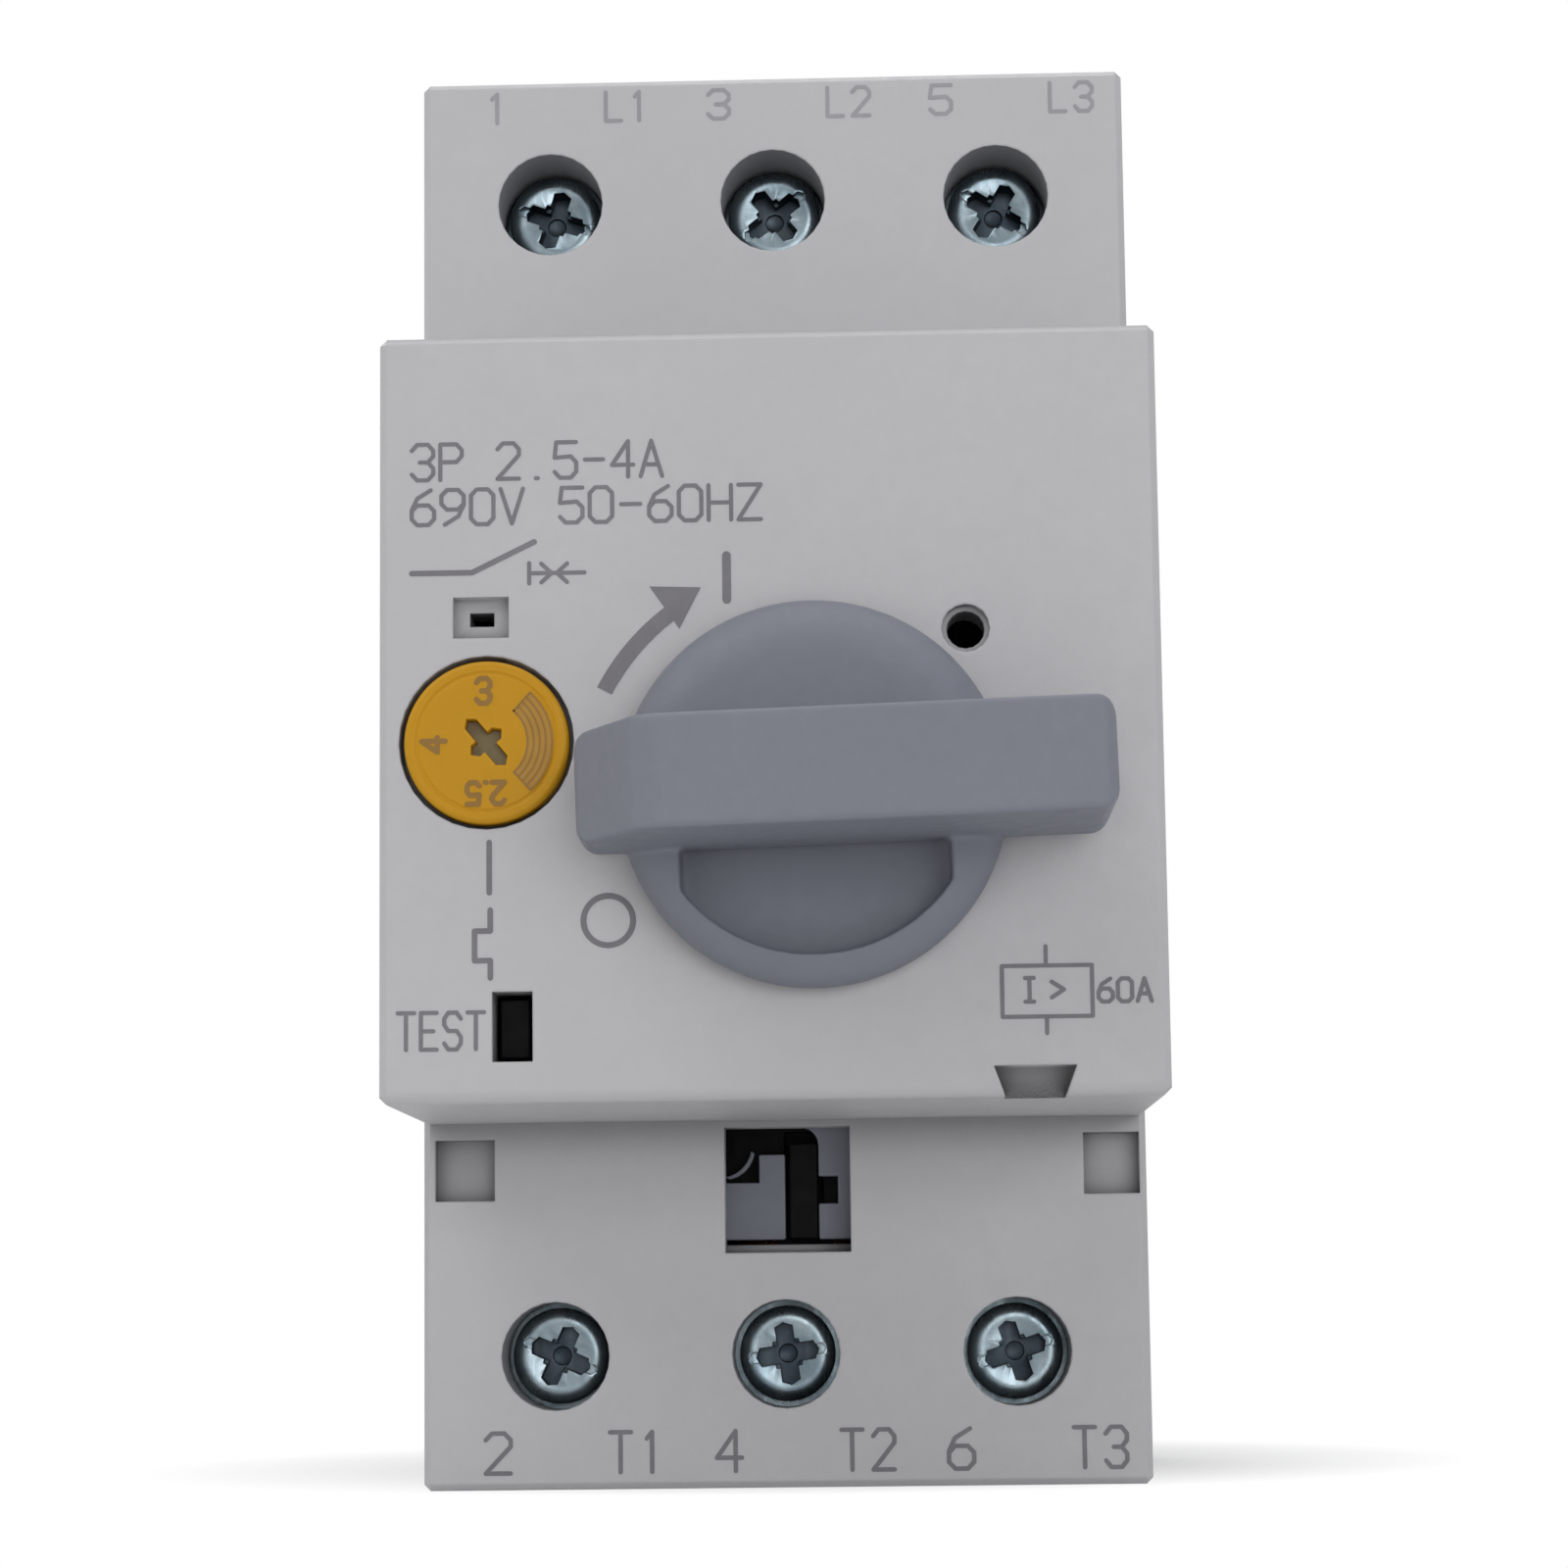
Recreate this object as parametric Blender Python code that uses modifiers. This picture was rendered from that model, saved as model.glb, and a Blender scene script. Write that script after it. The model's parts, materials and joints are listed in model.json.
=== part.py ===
"""A three-pole motor-protective circuit breaker with a rotary handle, as separate pieces that come apart.

Frame: origin at the centre of the rail seat on the back, X to the right, +Y towards the back, +Z up.
Sizes below are in millimetres, and MM turns them into metres when a mesh is made.
"""

import math

import bmesh
import bpy
from mathutils import Matrix, Vector

MM = 0.001
GAP = 0.3  # between pieces that touch

# Overall sizes
WIDTH = 45.0
HEIGHT = 90.0
BACK = 6.0  # rail seat to the hindmost face
DECK_FRONT = -39.5  # front of the terminal decks
PLATE_RISE = 19.0  # front plate ahead of the decks
PLATE_HEIGHT = 44.7
HANDLE_RISE = 11.5  # handle's front ahead of the front plate

# Mouldings
WALL = 2.1
PARTITION = 2.1
PLATE_WALL = 3.0
SPLIT = -26.0  # housing's open edge, where the cover meets it
FLOOR = -2.5  # bottom of the pole chambers
END_WALL = 5.5
CHAMFER = 0.4

# Rail channel, for a 35 mm top-hat rail
RAIL_HALF = 17.5
RAIL_PLAY = 0.3
HOOK_SLOT = 1.7
HOOK_REACH = 1.1
SEAT_STEP = 0.3
LATCH_HALF = 5.0
LATCH_FLANGE = 1.5
LATCH_FRONT = 1.6
LATCH_BACK = 5.0
LATCH_TRAVEL = 4.0
LATCH_WINDOW = 12.6
PEG_HEIGHT = 1.5
LATCH_SPRING_RADIUS = 1.3

# Terminals
TERMINAL_INSET = 8.2  # screw axis from the housing's end
WELL_RADIUS = 3.35
WELL_DEPTH = 4.5
HEAD_RADIUS = 3.0
HEAD_HEIGHT = 2.4
HEAD_RECESS = 3.0
RECESS_DEPTH = 1.4
SHANK_RADIUS = 2.0
SHANK_PAST_BAR = 1.3
CLAMP_HALF = 4.2
CLAMP_THICK = 1.2
WIRE_GAP = 5.1  # open space between clamp plate and bar
WIRE_HALF = 4.6
STRAP_THICK = 1.2
STRAP_HALF = 4.2

# Contact system
CONTACT_Z = 8.0
CONTACT_SPREAD = 8.0
CONTACT_FACE = -15.7
BUTTON_HALF = 1.4
BUTTON_THICK = 0.8
FIXED_BUTTON = 1.8
BRIDGE_THICK = 1.2
BRIDGE_HALF = 2.7
CONTACT_TRAVEL = 3.0
LEG_HALF = 4.0
LEG_DEEP = 3.0
LEG_END = 2.0
LEG_CHEEK = 1.0
LEG_WINDOW = 7.0
CONTACT_SPRING_RADIUS = 1.6
WIRE_RADIUS = 0.3
CHUTE_HALF = 4.3
CHUTE_PLATES = 5
CHUTE_PLATE = 0.8

# Releases
COIL_RADIUS = 3.6
COIL_WIRE = 0.6
COIL_TURNS = 3.5
COIL_LENGTH = 7.4
PLUNGER_RADIUS = 1.7
PLUNGER_LENGTH = 9.0
PIN_RADIUS = 0.8
PIN_LENGTH = 2.2
BIMETAL_Z = -19.3
BIMETAL_HALF = 2.5
BIMETAL_THICK = 1.0
BIMETAL_TIP = -31.5
BAR_Y = -34.0
BAR_Z = -14.5
BAR_RADIUS = 1.2
ARM_REACH = 4.5
ARM_THICK = 1.0

# Handle and its drive
AXIS_X = 2.45
AXIS_Z = -5.05
KNOB_RADIUS = 11.1
KNOB_RISE = 4.0
GRIP_RIGHT = 16.6
GRIP_LEFT = 13.2
GRIP_TOP_LEFT = 8.9
GRIP_HALF = 3.15
GRIP_UNDER = 2.0  # grip's underside above the front plate
NOSE_DROP = 5.5
DISH_RADIUS = 9.4
DISH_HALF = 7.6
DISH_DEPTH = 2.6
SHAFT_RADIUS = 2.5
SHAFT_IN_KNOB = 7.2
CAM_FRONT = -48.0
CAM_DISC = 2.0
CAM_RADIUS = 7.5
RAMP_INNER = 4.6
RAMP_LOW = 1.0
RAMP_OVERRUN = 10.0  # degrees past each end of the quarter turn
RAMP_STEPS = 11
FOLLOWER_ARM = 6.0
FOLLOWER_HALF = 1.5
FOLLOWER_DEEP = 1.2
FOLLOWER_GAP = 0.5
TIP_HALF = 0.5
TIP_HEIGHT = 1.5
BRACKET_FRONT = -37.0
BRACKET_THICK = 1.4
BRACKET_LOW = -11.5
CARRIER_FRONT = -35.2
CARRIER_THICK = 2.6
RETURN_SPRING_RADIUS = 1.7

# Dial, test slot, marks and pockets of the front
DIAL_X = -16.3
DIAL_Z = -1.6
DIAL_RADIUS = 4.75
DIAL_THICK = 1.6
DIAL_PROUD = 0.2
DIAL_STEM = 2.3
DIAL_STEM_LENGTH = 11.0
TEST_X = -14.85
TEST_Z = -18.0
TEST_HALF_X = 1.15
TEST_HALF_Z = 2.0
TEST_PLAY = 0.3
TEST_RECESS = 1.5
SEAL_X = 11.3
SEAL_Z = 4.6
SEAL_RADIUS = 1.1
SEAL_MOUTH = 1.4
SEAL_SINK = 0.5
SLOT_X = -16.6
SLOT_Z = 5.7
NOTCH_X = 14.8
NOTCH_TOP = 2.35
NOTCH_FOOT = 1.35
NOTCH_HEIGHT = 1.75
NOTCH_DEPTH = 2.0
WINDOW_X = 0.2
WINDOW_HALF = 3.9
WINDOW_TOP = 0.4  # below the front section
GALLERY_HALF = 16.5
GALLERY_TOP = 30.0
POCKET_LEFT = 4.45
POCKET_RIGHT = 3.9
POCKET_HEIGHT = 3.8
POCKET_DEPTH = 3.0
SLIDER_X = 1.15
SLIDER_HALF = 0.9
ARM_X = 6.0

# Snap tabs
TAB_Z = 24.0
TAB_HALF = 3.0
TAB_THICK = 1.1
TAB_REACH = 5.2
BARB_HIGH = 1.9
BARB_DEEP = 1.7

# Latch lever
LEVER_X = -7.9
LEVER_HALF = 1.0
LEVER_Y = -42.0
LEVER_Z = -9.5
PIVOT_RADIUS = 1.0
EAR_THICK = 2.0

# Worked out from the sizes above
PLATE_FRONT = DECK_FRONT - PLATE_RISE
GRIP_FRONT = PLATE_FRONT - HANDLE_RISE
PLATE_BACK = PLATE_FRONT + PLATE_WALL
COVER_BACK = SPLIT - GAP
HALF_WIDTH = WIDTH / 2
HALF_HEIGHT = HEIGHT / 2
HALF_PLATE = PLATE_HEIGHT / 2
INSIDE_X = HALF_WIDTH - WALL
CHAMBER_HALF = (WIDTH - 2 * WALL - 2 * PARTITION) / 6
POLE_PITCH = 2 * CHAMBER_HALF + PARTITION
POLES = {"l1": -POLE_PITCH, "l2": 0.0, "l3": POLE_PITCH}
INSIDE_Z = HALF_PLATE - WALL + 0.15
CHAMBER_END = HALF_HEIGHT - END_WALL
SCREW_Z = HALF_HEIGHT - TERMINAL_INSET
HEAD_FRONT = DECK_FRONT + HEAD_RECESS
HEAD_BACK = HEAD_FRONT + HEAD_HEIGHT
CLAMP_FRONT = HEAD_BACK + GAP
CLAMP_BACK = CLAMP_FRONT + CLAMP_THICK
BAR_FRONT = CLAMP_BACK + WIRE_GAP
BAR_BACK = BAR_FRONT + STRAP_THICK
BAR_OUTER = HALF_HEIGHT - WALL
BAR_INNER = SCREW_Z - SHANK_RADIUS - 2 * GAP - STRAP_THICK + 0.2
STRIP_FRONT = CONTACT_FACE + FIXED_BUTTON
STRIP_BACK = STRIP_FRONT + STRAP_THICK
BRIDGE_BACK = CONTACT_FACE - GAP - CONTACT_TRAVEL - BUTTON_THICK
BRIDGE_FRONT = BRIDGE_BACK - BRIDGE_THICK
WINDOW_BACK = BRIDGE_BACK + GAP
WINDOW_FRONT = WINDOW_BACK - LEG_WINDOW
LEG_BACK = WINDOW_BACK + LEG_END
CARRIER_BACK = CARRIER_FRONT + CARRIER_THICK
RAMP_BASE = CAM_FRONT + CAM_DISC
TIP_FRONT = RAMP_BASE + RAMP_LOW + FOLLOWER_GAP
BRACKET_BACK = BRACKET_FRONT + BRACKET_THICK
INSERT_FRONT = DECK_FRONT + WALL + GAP
UNDER_PLATE = -HALF_PLATE - WINDOW_TOP
FOLLOWERS = (AXIS_X + FOLLOWER_ARM, AXIS_X - FOLLOWER_ARM)
ARM_FRONT = CARRIER_BACK + GAP

FINISHES = {
    "housing_grey": ((0.47, 0.47, 0.48), 0.55, 0.0),
    "handle_grey": ((0.20, 0.21, 0.25), 0.5, 0.0),
    "dial_yellow": ((0.52, 0.30, 0.01), 0.45, 0.0),
    "black_plastic": ((0.012, 0.012, 0.014), 0.5, 0.0),
    "zinc_steel": ((0.50, 0.54, 0.56), 0.3, 1.0),
    "spring_steel": ((0.35, 0.36, 0.38), 0.3, 1.0),
    "copper": ((0.72, 0.36, 0.20), 0.35, 1.0),
    "bimetal": ((0.55, 0.50, 0.42), 0.4, 1.0),
    "fibre": ((0.30, 0.22, 0.14), 0.8, 0.0),
}


def clear_scene():
    for obj in list(bpy.data.objects):
        bpy.data.objects.remove(obj)


def new_collection(name):
    made = bpy.data.collections.new(name)
    bpy.context.scene.collection.children.link(made)
    return made


def finish_named(name):
    """A Principled material with the finish's colour, roughness and metallic value."""
    found = bpy.data.materials.get(name)
    if found:
        return found
    colour, roughness, metallic = FINISHES[name]
    made = bpy.data.materials.new(name)
    made.use_nodes = True
    shader = made.node_tree.nodes["Principled BSDF"]
    shader.inputs["Base Color"].default_value = (*colour, 1.0)
    shader.inputs["Roughness"].default_value = roughness
    shader.inputs["Metallic"].default_value = metallic
    return made


def to_mesh(bm, name):
    mesh = bpy.data.meshes.new(name)
    bm.to_mesh(mesh)
    bm.free()
    return mesh


def block(low, high):
    """A box between two corners."""
    size = [b - a for a, b in zip(low, high)]
    middle = [(a + b) / 2 for a, b in zip(low, high)]
    place = Matrix.Scale(MM, 4) @ Matrix.Translation(middle) @ Matrix.Diagonal((*size, 1))
    bm = bmesh.new()
    bmesh.ops.create_cube(bm, size=1, matrix=place)
    return to_mesh(bm, "block")


TURNED = {
    "X": Matrix.Rotation(math.pi / 2, 4, "Y"),
    "Y": Matrix.Rotation(-math.pi / 2, 4, "X"),
    "Z": Matrix.Identity(4),
}


def rod(axis, centre, radius, low, high, far_radius=None, sides=20):
    """A cylinder or cone along an axis from low to high, centred on its two other coordinates."""
    spot = list(centre)
    spot.insert("XYZ".index(axis), (low + high) / 2)
    place = Matrix.Scale(MM, 4) @ Matrix.Translation(spot) @ TURNED[axis]
    bm = bmesh.new()
    bmesh.ops.create_cone(
        bm,
        cap_ends=True,
        segments=sides,
        radius1=radius,
        radius2=radius if far_radius is None else far_radius,
        depth=high - low,
        matrix=place,
    )
    return to_mesh(bm, "rod")


def mesh_of_curve(curve, place):
    """The curve's evaluated mesh with its loose caps welded on, moved by a matrix."""
    holder = bpy.data.objects.new("outline", curve)
    bpy.context.scene.collection.objects.link(holder)
    graph = bpy.context.evaluated_depsgraph_get()
    mesh = bpy.data.meshes.new_from_object(holder.evaluated_get(graph))
    bpy.data.objects.remove(holder)
    bpy.data.curves.remove(curve)
    mesh.transform(place)
    bm = bmesh.new()
    bm.from_mesh(mesh)
    bmesh.ops.remove_doubles(bm, verts=bm.verts, dist=1e-6)
    bmesh.ops.recalc_face_normals(bm, faces=bm.faces)
    bm.to_mesh(mesh)
    bm.free()
    return mesh


# Where an outline's own axes point, for each direction it is extruded along
OUTLINE_AXES = {
    "X": ((0, 1, 0), (0, 0, 1), (1, 0, 0)),
    "Y": ((1, 0, 0), (0, 0, 1), (0, -1, 0)),
    "Z": ((1, 0, 0), (0, 1, 0), (0, 0, 1)),
}


def outline(axis, points, low, high):
    """A flat outline extruded along an axis: (y, z) points along X, (x, z) along Y, (x, y) along Z."""
    curve = bpy.data.curves.new("outline", "CURVE")
    curve.dimensions = "2D"
    curve.fill_mode = "BOTH"
    curve.extrude = (high - low) / 2 * MM
    spline = curve.splines.new("POLY")
    spline.points.add(len(points) - 1)
    for point, (u, v) in zip(spline.points, points):
        point.co = (u * MM, v * MM, 0, 1)
    spline.use_cyclic_u = True
    turn = Matrix(OUTLINE_AXES[axis]).transposed().to_4x4()
    shift = [0, 0, 0]
    shift["XYZ".index(axis)] = (low + high) / 2 * MM
    return mesh_of_curve(curve, Matrix.Translation(shift) @ turn)


def coil(axis, centre, radius, wire, low, high, turns, points_per_turn=9):
    """A helix of round wire along an axis, whose wire stays between low and high."""
    count = round(turns * points_per_turn)
    curve = bpy.data.curves.new("coil", "CURVE")
    curve.dimensions = "3D"
    curve.bevel_depth = wire * MM
    curve.bevel_resolution = 2
    curve.use_fill_caps = True
    spline = curve.splines.new("POLY")
    spline.points.add(count)
    first, last = low + wire, high - wire
    for step, point in enumerate(spline.points):
        angle = 2 * math.pi * step / points_per_turn
        along = first + (last - first) * step / count
        place = [centre[0] + radius * math.cos(angle), centre[1] + radius * math.sin(angle)]
        place.insert("XYZ".index(axis), along)
        point.co = (*(value * MM for value in place), 1)
    return mesh_of_curve(curve, Matrix.Identity(4))


def piece(name, mesh, finish, origin=(0, 0, 0), smooth=False):
    """A part of the breaker, with its origin at a point such as its joint's axis."""
    home = Vector(origin) * MM
    mesh.transform(Matrix.Translation(-home))
    mesh.name = name
    mesh.materials.append(finish_named(finish))
    if smooth:
        mesh.shade_smooth()
        mesh.set_sharp_from_angle(angle=math.radians(40))
    made = bpy.data.objects.new(name, mesh)
    made.location = home
    PIECES.objects.link(made)
    return made


def boolean(target, mesh, operation):
    tool = bpy.data.objects.new("cutter", mesh)
    tool.hide_render = True
    tool.display_type = "WIRE"
    CUTTERS.objects.link(tool)
    modifier = target.modifiers.new(operation.lower(), "BOOLEAN")
    modifier.operation = operation
    modifier.object = tool


def cut(target, *meshes):
    for mesh in meshes:
        boolean(target, mesh, "DIFFERENCE")


def join(target, *meshes):
    for mesh in meshes:
        boolean(target, mesh, "UNION")


def chamfer(target, width):
    modifier = target.modifiers.new("chamfer", "BEVEL")
    modifier.width = width * MM
    modifier.segments = 1


def both_ends(low, high):
    """The stretch of Z at the top, and its mirror image at the bottom."""
    return ((low, high), (-high, -low))


def make_rear_housing():
    """The deep shell: three open pole chambers in front, the rail channel and the latch's guide behind."""
    shell = block((-HALF_WIDTH, SPLIT, -HALF_HEIGHT), (HALF_WIDTH, BACK, HALF_HEIGHT))
    housing = piece("rear_housing", shell, "housing_grey")
    chamfer(housing, CHAMFER)
    for x in POLES.values():
        low = (x - CHAMBER_HALF, SPLIT - 1, -CHAMBER_END)
        cut(housing, block(low, (x + CHAMBER_HALF, FLOOR, CHAMBER_END)))
    cut_rail_channel(housing)
    cut_latch_guide(housing)
    cut_back_pockets(housing)
    for side in (-1, 1):
        x = side * POLE_PITCH / 2
        reach = RETURN_SPRING_RADIUS + WIRE_RADIUS + GAP
        join(
            housing,
            block((x - reach, SPLIT, CONTACT_Z - reach), (x + reach, STRIP_BACK + 1, CONTACT_Z + reach)),
        )
        for low, high in both_ends(TAB_Z - TAB_HALF - GAP, TAB_Z + TAB_HALF + GAP):
            near, far = sorted((side * (INSIDE_X - 1), side * (HALF_WIDTH + 1)))
            barb = COVER_BACK + TAB_REACH
            cut(housing, block((near, barb - BARB_DEEP - 2 * GAP, low), (far, barb + GAP, high)))


def cut_rail_channel(housing):
    """The rail's channel, with a fixed hook over its upper flange and room for the latch below."""
    lip = RAIL_HALF - HOOK_REACH
    top = RAIL_HALF + RAIL_PLAY
    low = -RAIL_HALF - LATCH_TRAVEL + 1
    seat = lip - GAP
    profile = [
        (0, -seat),
        (0, seat),
        (-SEAT_STEP, seat),
        (-SEAT_STEP, top),
        (HOOK_SLOT, top),
        (HOOK_SLOT, lip),
        (BACK + 1, lip),
        (BACK + 1, low),
        (-SEAT_STEP, low),
        (-SEAT_STEP, -seat),
    ]
    cut(housing, outline("X", profile, -HALF_WIDTH - 1, HALF_WIDTH + 1))


def latch_profile(grow, back):
    """The latch's T-shaped section, or with grow its guide's."""
    wide = LATCH_HALF + LATCH_FLANGE + grow
    narrow = LATCH_HALF + grow
    front = LATCH_FRONT - grow
    step = LATCH_FRONT + 1.4 + grow
    return [
        (-wide, front),
        (wide, front),
        (wide, step),
        (narrow, step),
        (narrow, back),
        (-narrow, back),
        (-narrow, step),
        (-wide, step),
    ]


def latch_window():
    """Top and bottom of the opening in the latch that holds its spring."""
    bottom = -HALF_HEIGHT + 6.4
    return bottom, bottom + LATCH_WINDOW


def cut_latch_guide(housing):
    """A T-slot down the lower back, with a peg that the latch's spring stands on."""
    cut(housing, outline("Z", latch_profile(GAP, BACK + 1), -HALF_HEIGHT - 1, -RAIL_HALF - 2))
    low = latch_window()[0] + 2 * GAP
    join(housing, block((-1.5, 0, low), (1.5, LATCH_BACK - GAP, low + PEG_HEIGHT)))


def cut_back_pockets(housing):
    """Moulded hollows behind the terminals, with ribs left between them."""
    floor = FLOOR + 3
    rib = 1.0
    guide = LATCH_HALF + LATCH_FLANGE + GAP + 1.5
    for side in (-1, 1):
        for inner, low, high in (
            (rib, RAIL_HALF + 3, HALF_HEIGHT - 2.5),
            (guide, -HALF_HEIGHT + 2.5, -RAIL_HALF - 6),
        ):
            near, far = sorted((side * inner, side * INSIDE_X))
            cut(housing, block((near, floor, low), (far, BACK + 1, high)))


def make_front_cover():
    """The front shell: two terminal decks and the raised section that the mechanism sits in."""
    deck = block((-HALF_WIDTH, DECK_FRONT, -HALF_HEIGHT), (HALF_WIDTH, COVER_BACK, HALF_HEIGHT))
    cover = piece("front_cover", deck, "housing_grey")
    chamfer(cover, CHAMFER)
    raised = piece(
        "raised_section",
        block((-HALF_WIDTH, PLATE_FRONT, -HALF_PLATE), (HALF_WIDTH, DECK_FRONT + 5, HALF_PLATE)),
        "housing_grey",
    )
    chamfer(raised, CHAMFER)
    hide_as_tool(raised)
    union = cover.modifiers.new("union", "BOOLEAN")
    union.operation = "UNION"
    union.object = raised
    cut(cover, block((-INSIDE_X, PLATE_BACK, -INSIDE_Z), (INSIDE_X, COVER_BACK + 1, INSIDE_Z)))
    cut_terminal_chambers(cover)
    cut_galleries(cover)
    cut_front_features(cover)
    add_snap_tabs(cover)
    for side in (-1, 1):
        near, far = sorted((side * (INSIDE_X - 1), side * (HALF_WIDTH - 1.1)))
        cut(cover, rod("X", (BAR_Y, BAR_Z), BAR_RADIUS + GAP, near, far, sides=16))


def hide_as_tool(obj):
    PIECES.objects.unlink(obj)
    CUTTERS.objects.link(obj)
    obj.hide_render = True
    obj.display_type = "WIRE"


def cut_terminal_chambers(cover):
    """Per terminal: a chamber behind the deck, the screw's well in front and the wire's way in at the end."""
    inner = SCREW_Z - CLAMP_HALF - 0.8
    for x in POLES.values():
        for side, (low, high) in zip((1, -1), both_ends(inner, HALF_HEIGHT - WALL + GAP)):
            chamber_front = DECK_FRONT + WELL_DEPTH
            cut(
                cover,
                block((x - CHAMBER_HALF, chamber_front, low), (x + CHAMBER_HALF, COVER_BACK + 1, high)),
                rod("Y", (x, side * SCREW_Z), WELL_RADIUS, DECK_FRONT - 1, chamber_front + 1, sides=28),
            )
            near, far = sorted((side * (HALF_HEIGHT - WALL - 1), side * (HALF_HEIGHT + 1)))
            wire_low = CLAMP_BACK - 0.4
            cut(cover, block((x - WIRE_HALF, wire_low, near), (x + WIRE_HALF, BAR_FRONT - 0.2, far)))


def cut_galleries(cover):
    """The hollows between the raised section and the terminals, and what shows in the lower one."""
    for low, high in both_ends(HALF_PLATE - 0.15, GALLERY_TOP):
        cut(cover, block((-GALLERY_HALF, DECK_FRONT + WALL, low), (GALLERY_HALF, COVER_BACK + 1, high)))
    window_foot = UNDER_PLATE - 2 * WINDOW_HALF
    cut(
        cover,
        block(
            (WINDOW_X - WINDOW_HALF, DECK_FRONT - 1, window_foot),
            (WINDOW_X + WINDOW_HALF, DECK_FRONT + WALL + 1, UNDER_PLATE),
        ),
        block(
            (ARM_X - 1.3, ARM_FRONT - 1, -HALF_PLATE - 1),
            (ARM_X + 1.3, COVER_BACK + 1, -INSIDE_Z + 1),
        ),
    )
    top = -HALF_PLATE - 1
    for side, reach in ((-1, POCKET_LEFT), (1, POCKET_RIGHT)):
        near, far = sorted((side * (HALF_WIDTH - reach), side * (HALF_WIDTH + 1)))
        cut(cover, block((near, DECK_FRONT - 1, top - POCKET_HEIGHT), (far, DECK_FRONT + POCKET_DEPTH, top)))


def cut_front_features(cover):
    """Holes and recesses of the front plate."""
    front = PLATE_FRONT - 1
    through = PLATE_BACK + 1
    dial_floor = PLATE_FRONT + DIAL_THICK - DIAL_PROUD + GAP
    notch_top = -HALF_PLATE + NOTCH_HEIGHT
    notch = [
        (NOTCH_X - NOTCH_TOP, notch_top),
        (NOTCH_X + NOTCH_TOP, notch_top),
        (NOTCH_X + NOTCH_FOOT, -HALF_PLATE - 1),
        (NOTCH_X - NOTCH_FOOT, -HALF_PLATE - 1),
    ]
    cut(
        cover,
        rod("Y", (AXIS_X, AXIS_Z), SHAFT_RADIUS + GAP, front, through),
        rod("Y", (DIAL_X, DIAL_Z), DIAL_RADIUS + GAP, front, dial_floor, sides=32),
        rod("Y", (DIAL_X, DIAL_Z), DIAL_STEM + GAP, front, through),
        rod("Y", (SEAL_X, SEAL_Z), SEAL_RADIUS, front, through, sides=16),
        rod("Y", (SEAL_X, SEAL_Z), SEAL_MOUTH, front, PLATE_FRONT + SEAL_SINK, sides=16),
        block((SLOT_X - 1.6, front, SLOT_Z - 1.2), (SLOT_X + 1.6, PLATE_FRONT + 0.7, SLOT_Z + 1.2)),
        block((SLOT_X - 0.7, front, SLOT_Z - 0.4), (SLOT_X + 0.7, through, SLOT_Z + 0.4)),
        block(
            (TEST_X - TEST_HALF_X, front, TEST_Z - TEST_HALF_Z),
            (TEST_X + TEST_HALF_X, through, TEST_Z + TEST_HALF_Z),
        ),
        outline("Y", notch, front, PLATE_FRONT + NOTCH_DEPTH),
    )


def add_snap_tabs(cover):
    """Four tabs whose barbs catch in windows in the housing's side walls."""
    reach = COVER_BACK + TAB_REACH
    for side in (-1, 1):
        outer = INSIDE_X - GAP
        profile = [
            (side * outer, COVER_BACK - 1),
            (side * outer, reach - BARB_DEEP),
            (side * (outer + BARB_HIGH), reach - BARB_DEEP),
            (side * outer, reach),
            (side * (outer - TAB_THICK), reach),
            (side * (outer - TAB_THICK), COVER_BACK - 1),
        ]
        for low, high in both_ends(TAB_Z - TAB_HALF, TAB_Z + TAB_HALF):
            join(cover, outline("Z", profile, low, high))


def make_rail_latch():
    low, high = latch_window()
    top = -RAIL_HALF + HOOK_REACH - 0.2
    latch = piece(
        "rail_latch",
        outline("Z", latch_profile(0, LATCH_BACK), -HALF_HEIGHT + GAP, top),
        "black_plastic",
    )
    beak = [(LATCH_FRONT + 1.2, top + 1), (LATCH_BACK + 1, top + 1), (LATCH_BACK + 1, top - 2.6)]
    cut(
        latch,
        outline("X", beak, -LATCH_HALF - 2, LATCH_HALF + 2),
        block((-1.9, LATCH_FRONT - 1, low), (1.9, LATCH_BACK + 1, high)),
        block((-2.5, LATCH_FRONT + 1.2, -HALF_HEIGHT), (2.5, LATCH_BACK + 1, -HALF_HEIGHT + 2.2)),
    )
    peg_top = low + 2 * GAP + PEG_HEIGHT
    middle = (LATCH_FRONT + LATCH_BACK) / 2
    wound = coil("Z", (0, middle), LATCH_SPRING_RADIUS, WIRE_RADIUS, peg_top + GAP, high - GAP, 4)
    piece("rail_latch_spring", wound, "spring_steel", smooth=True)


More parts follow.
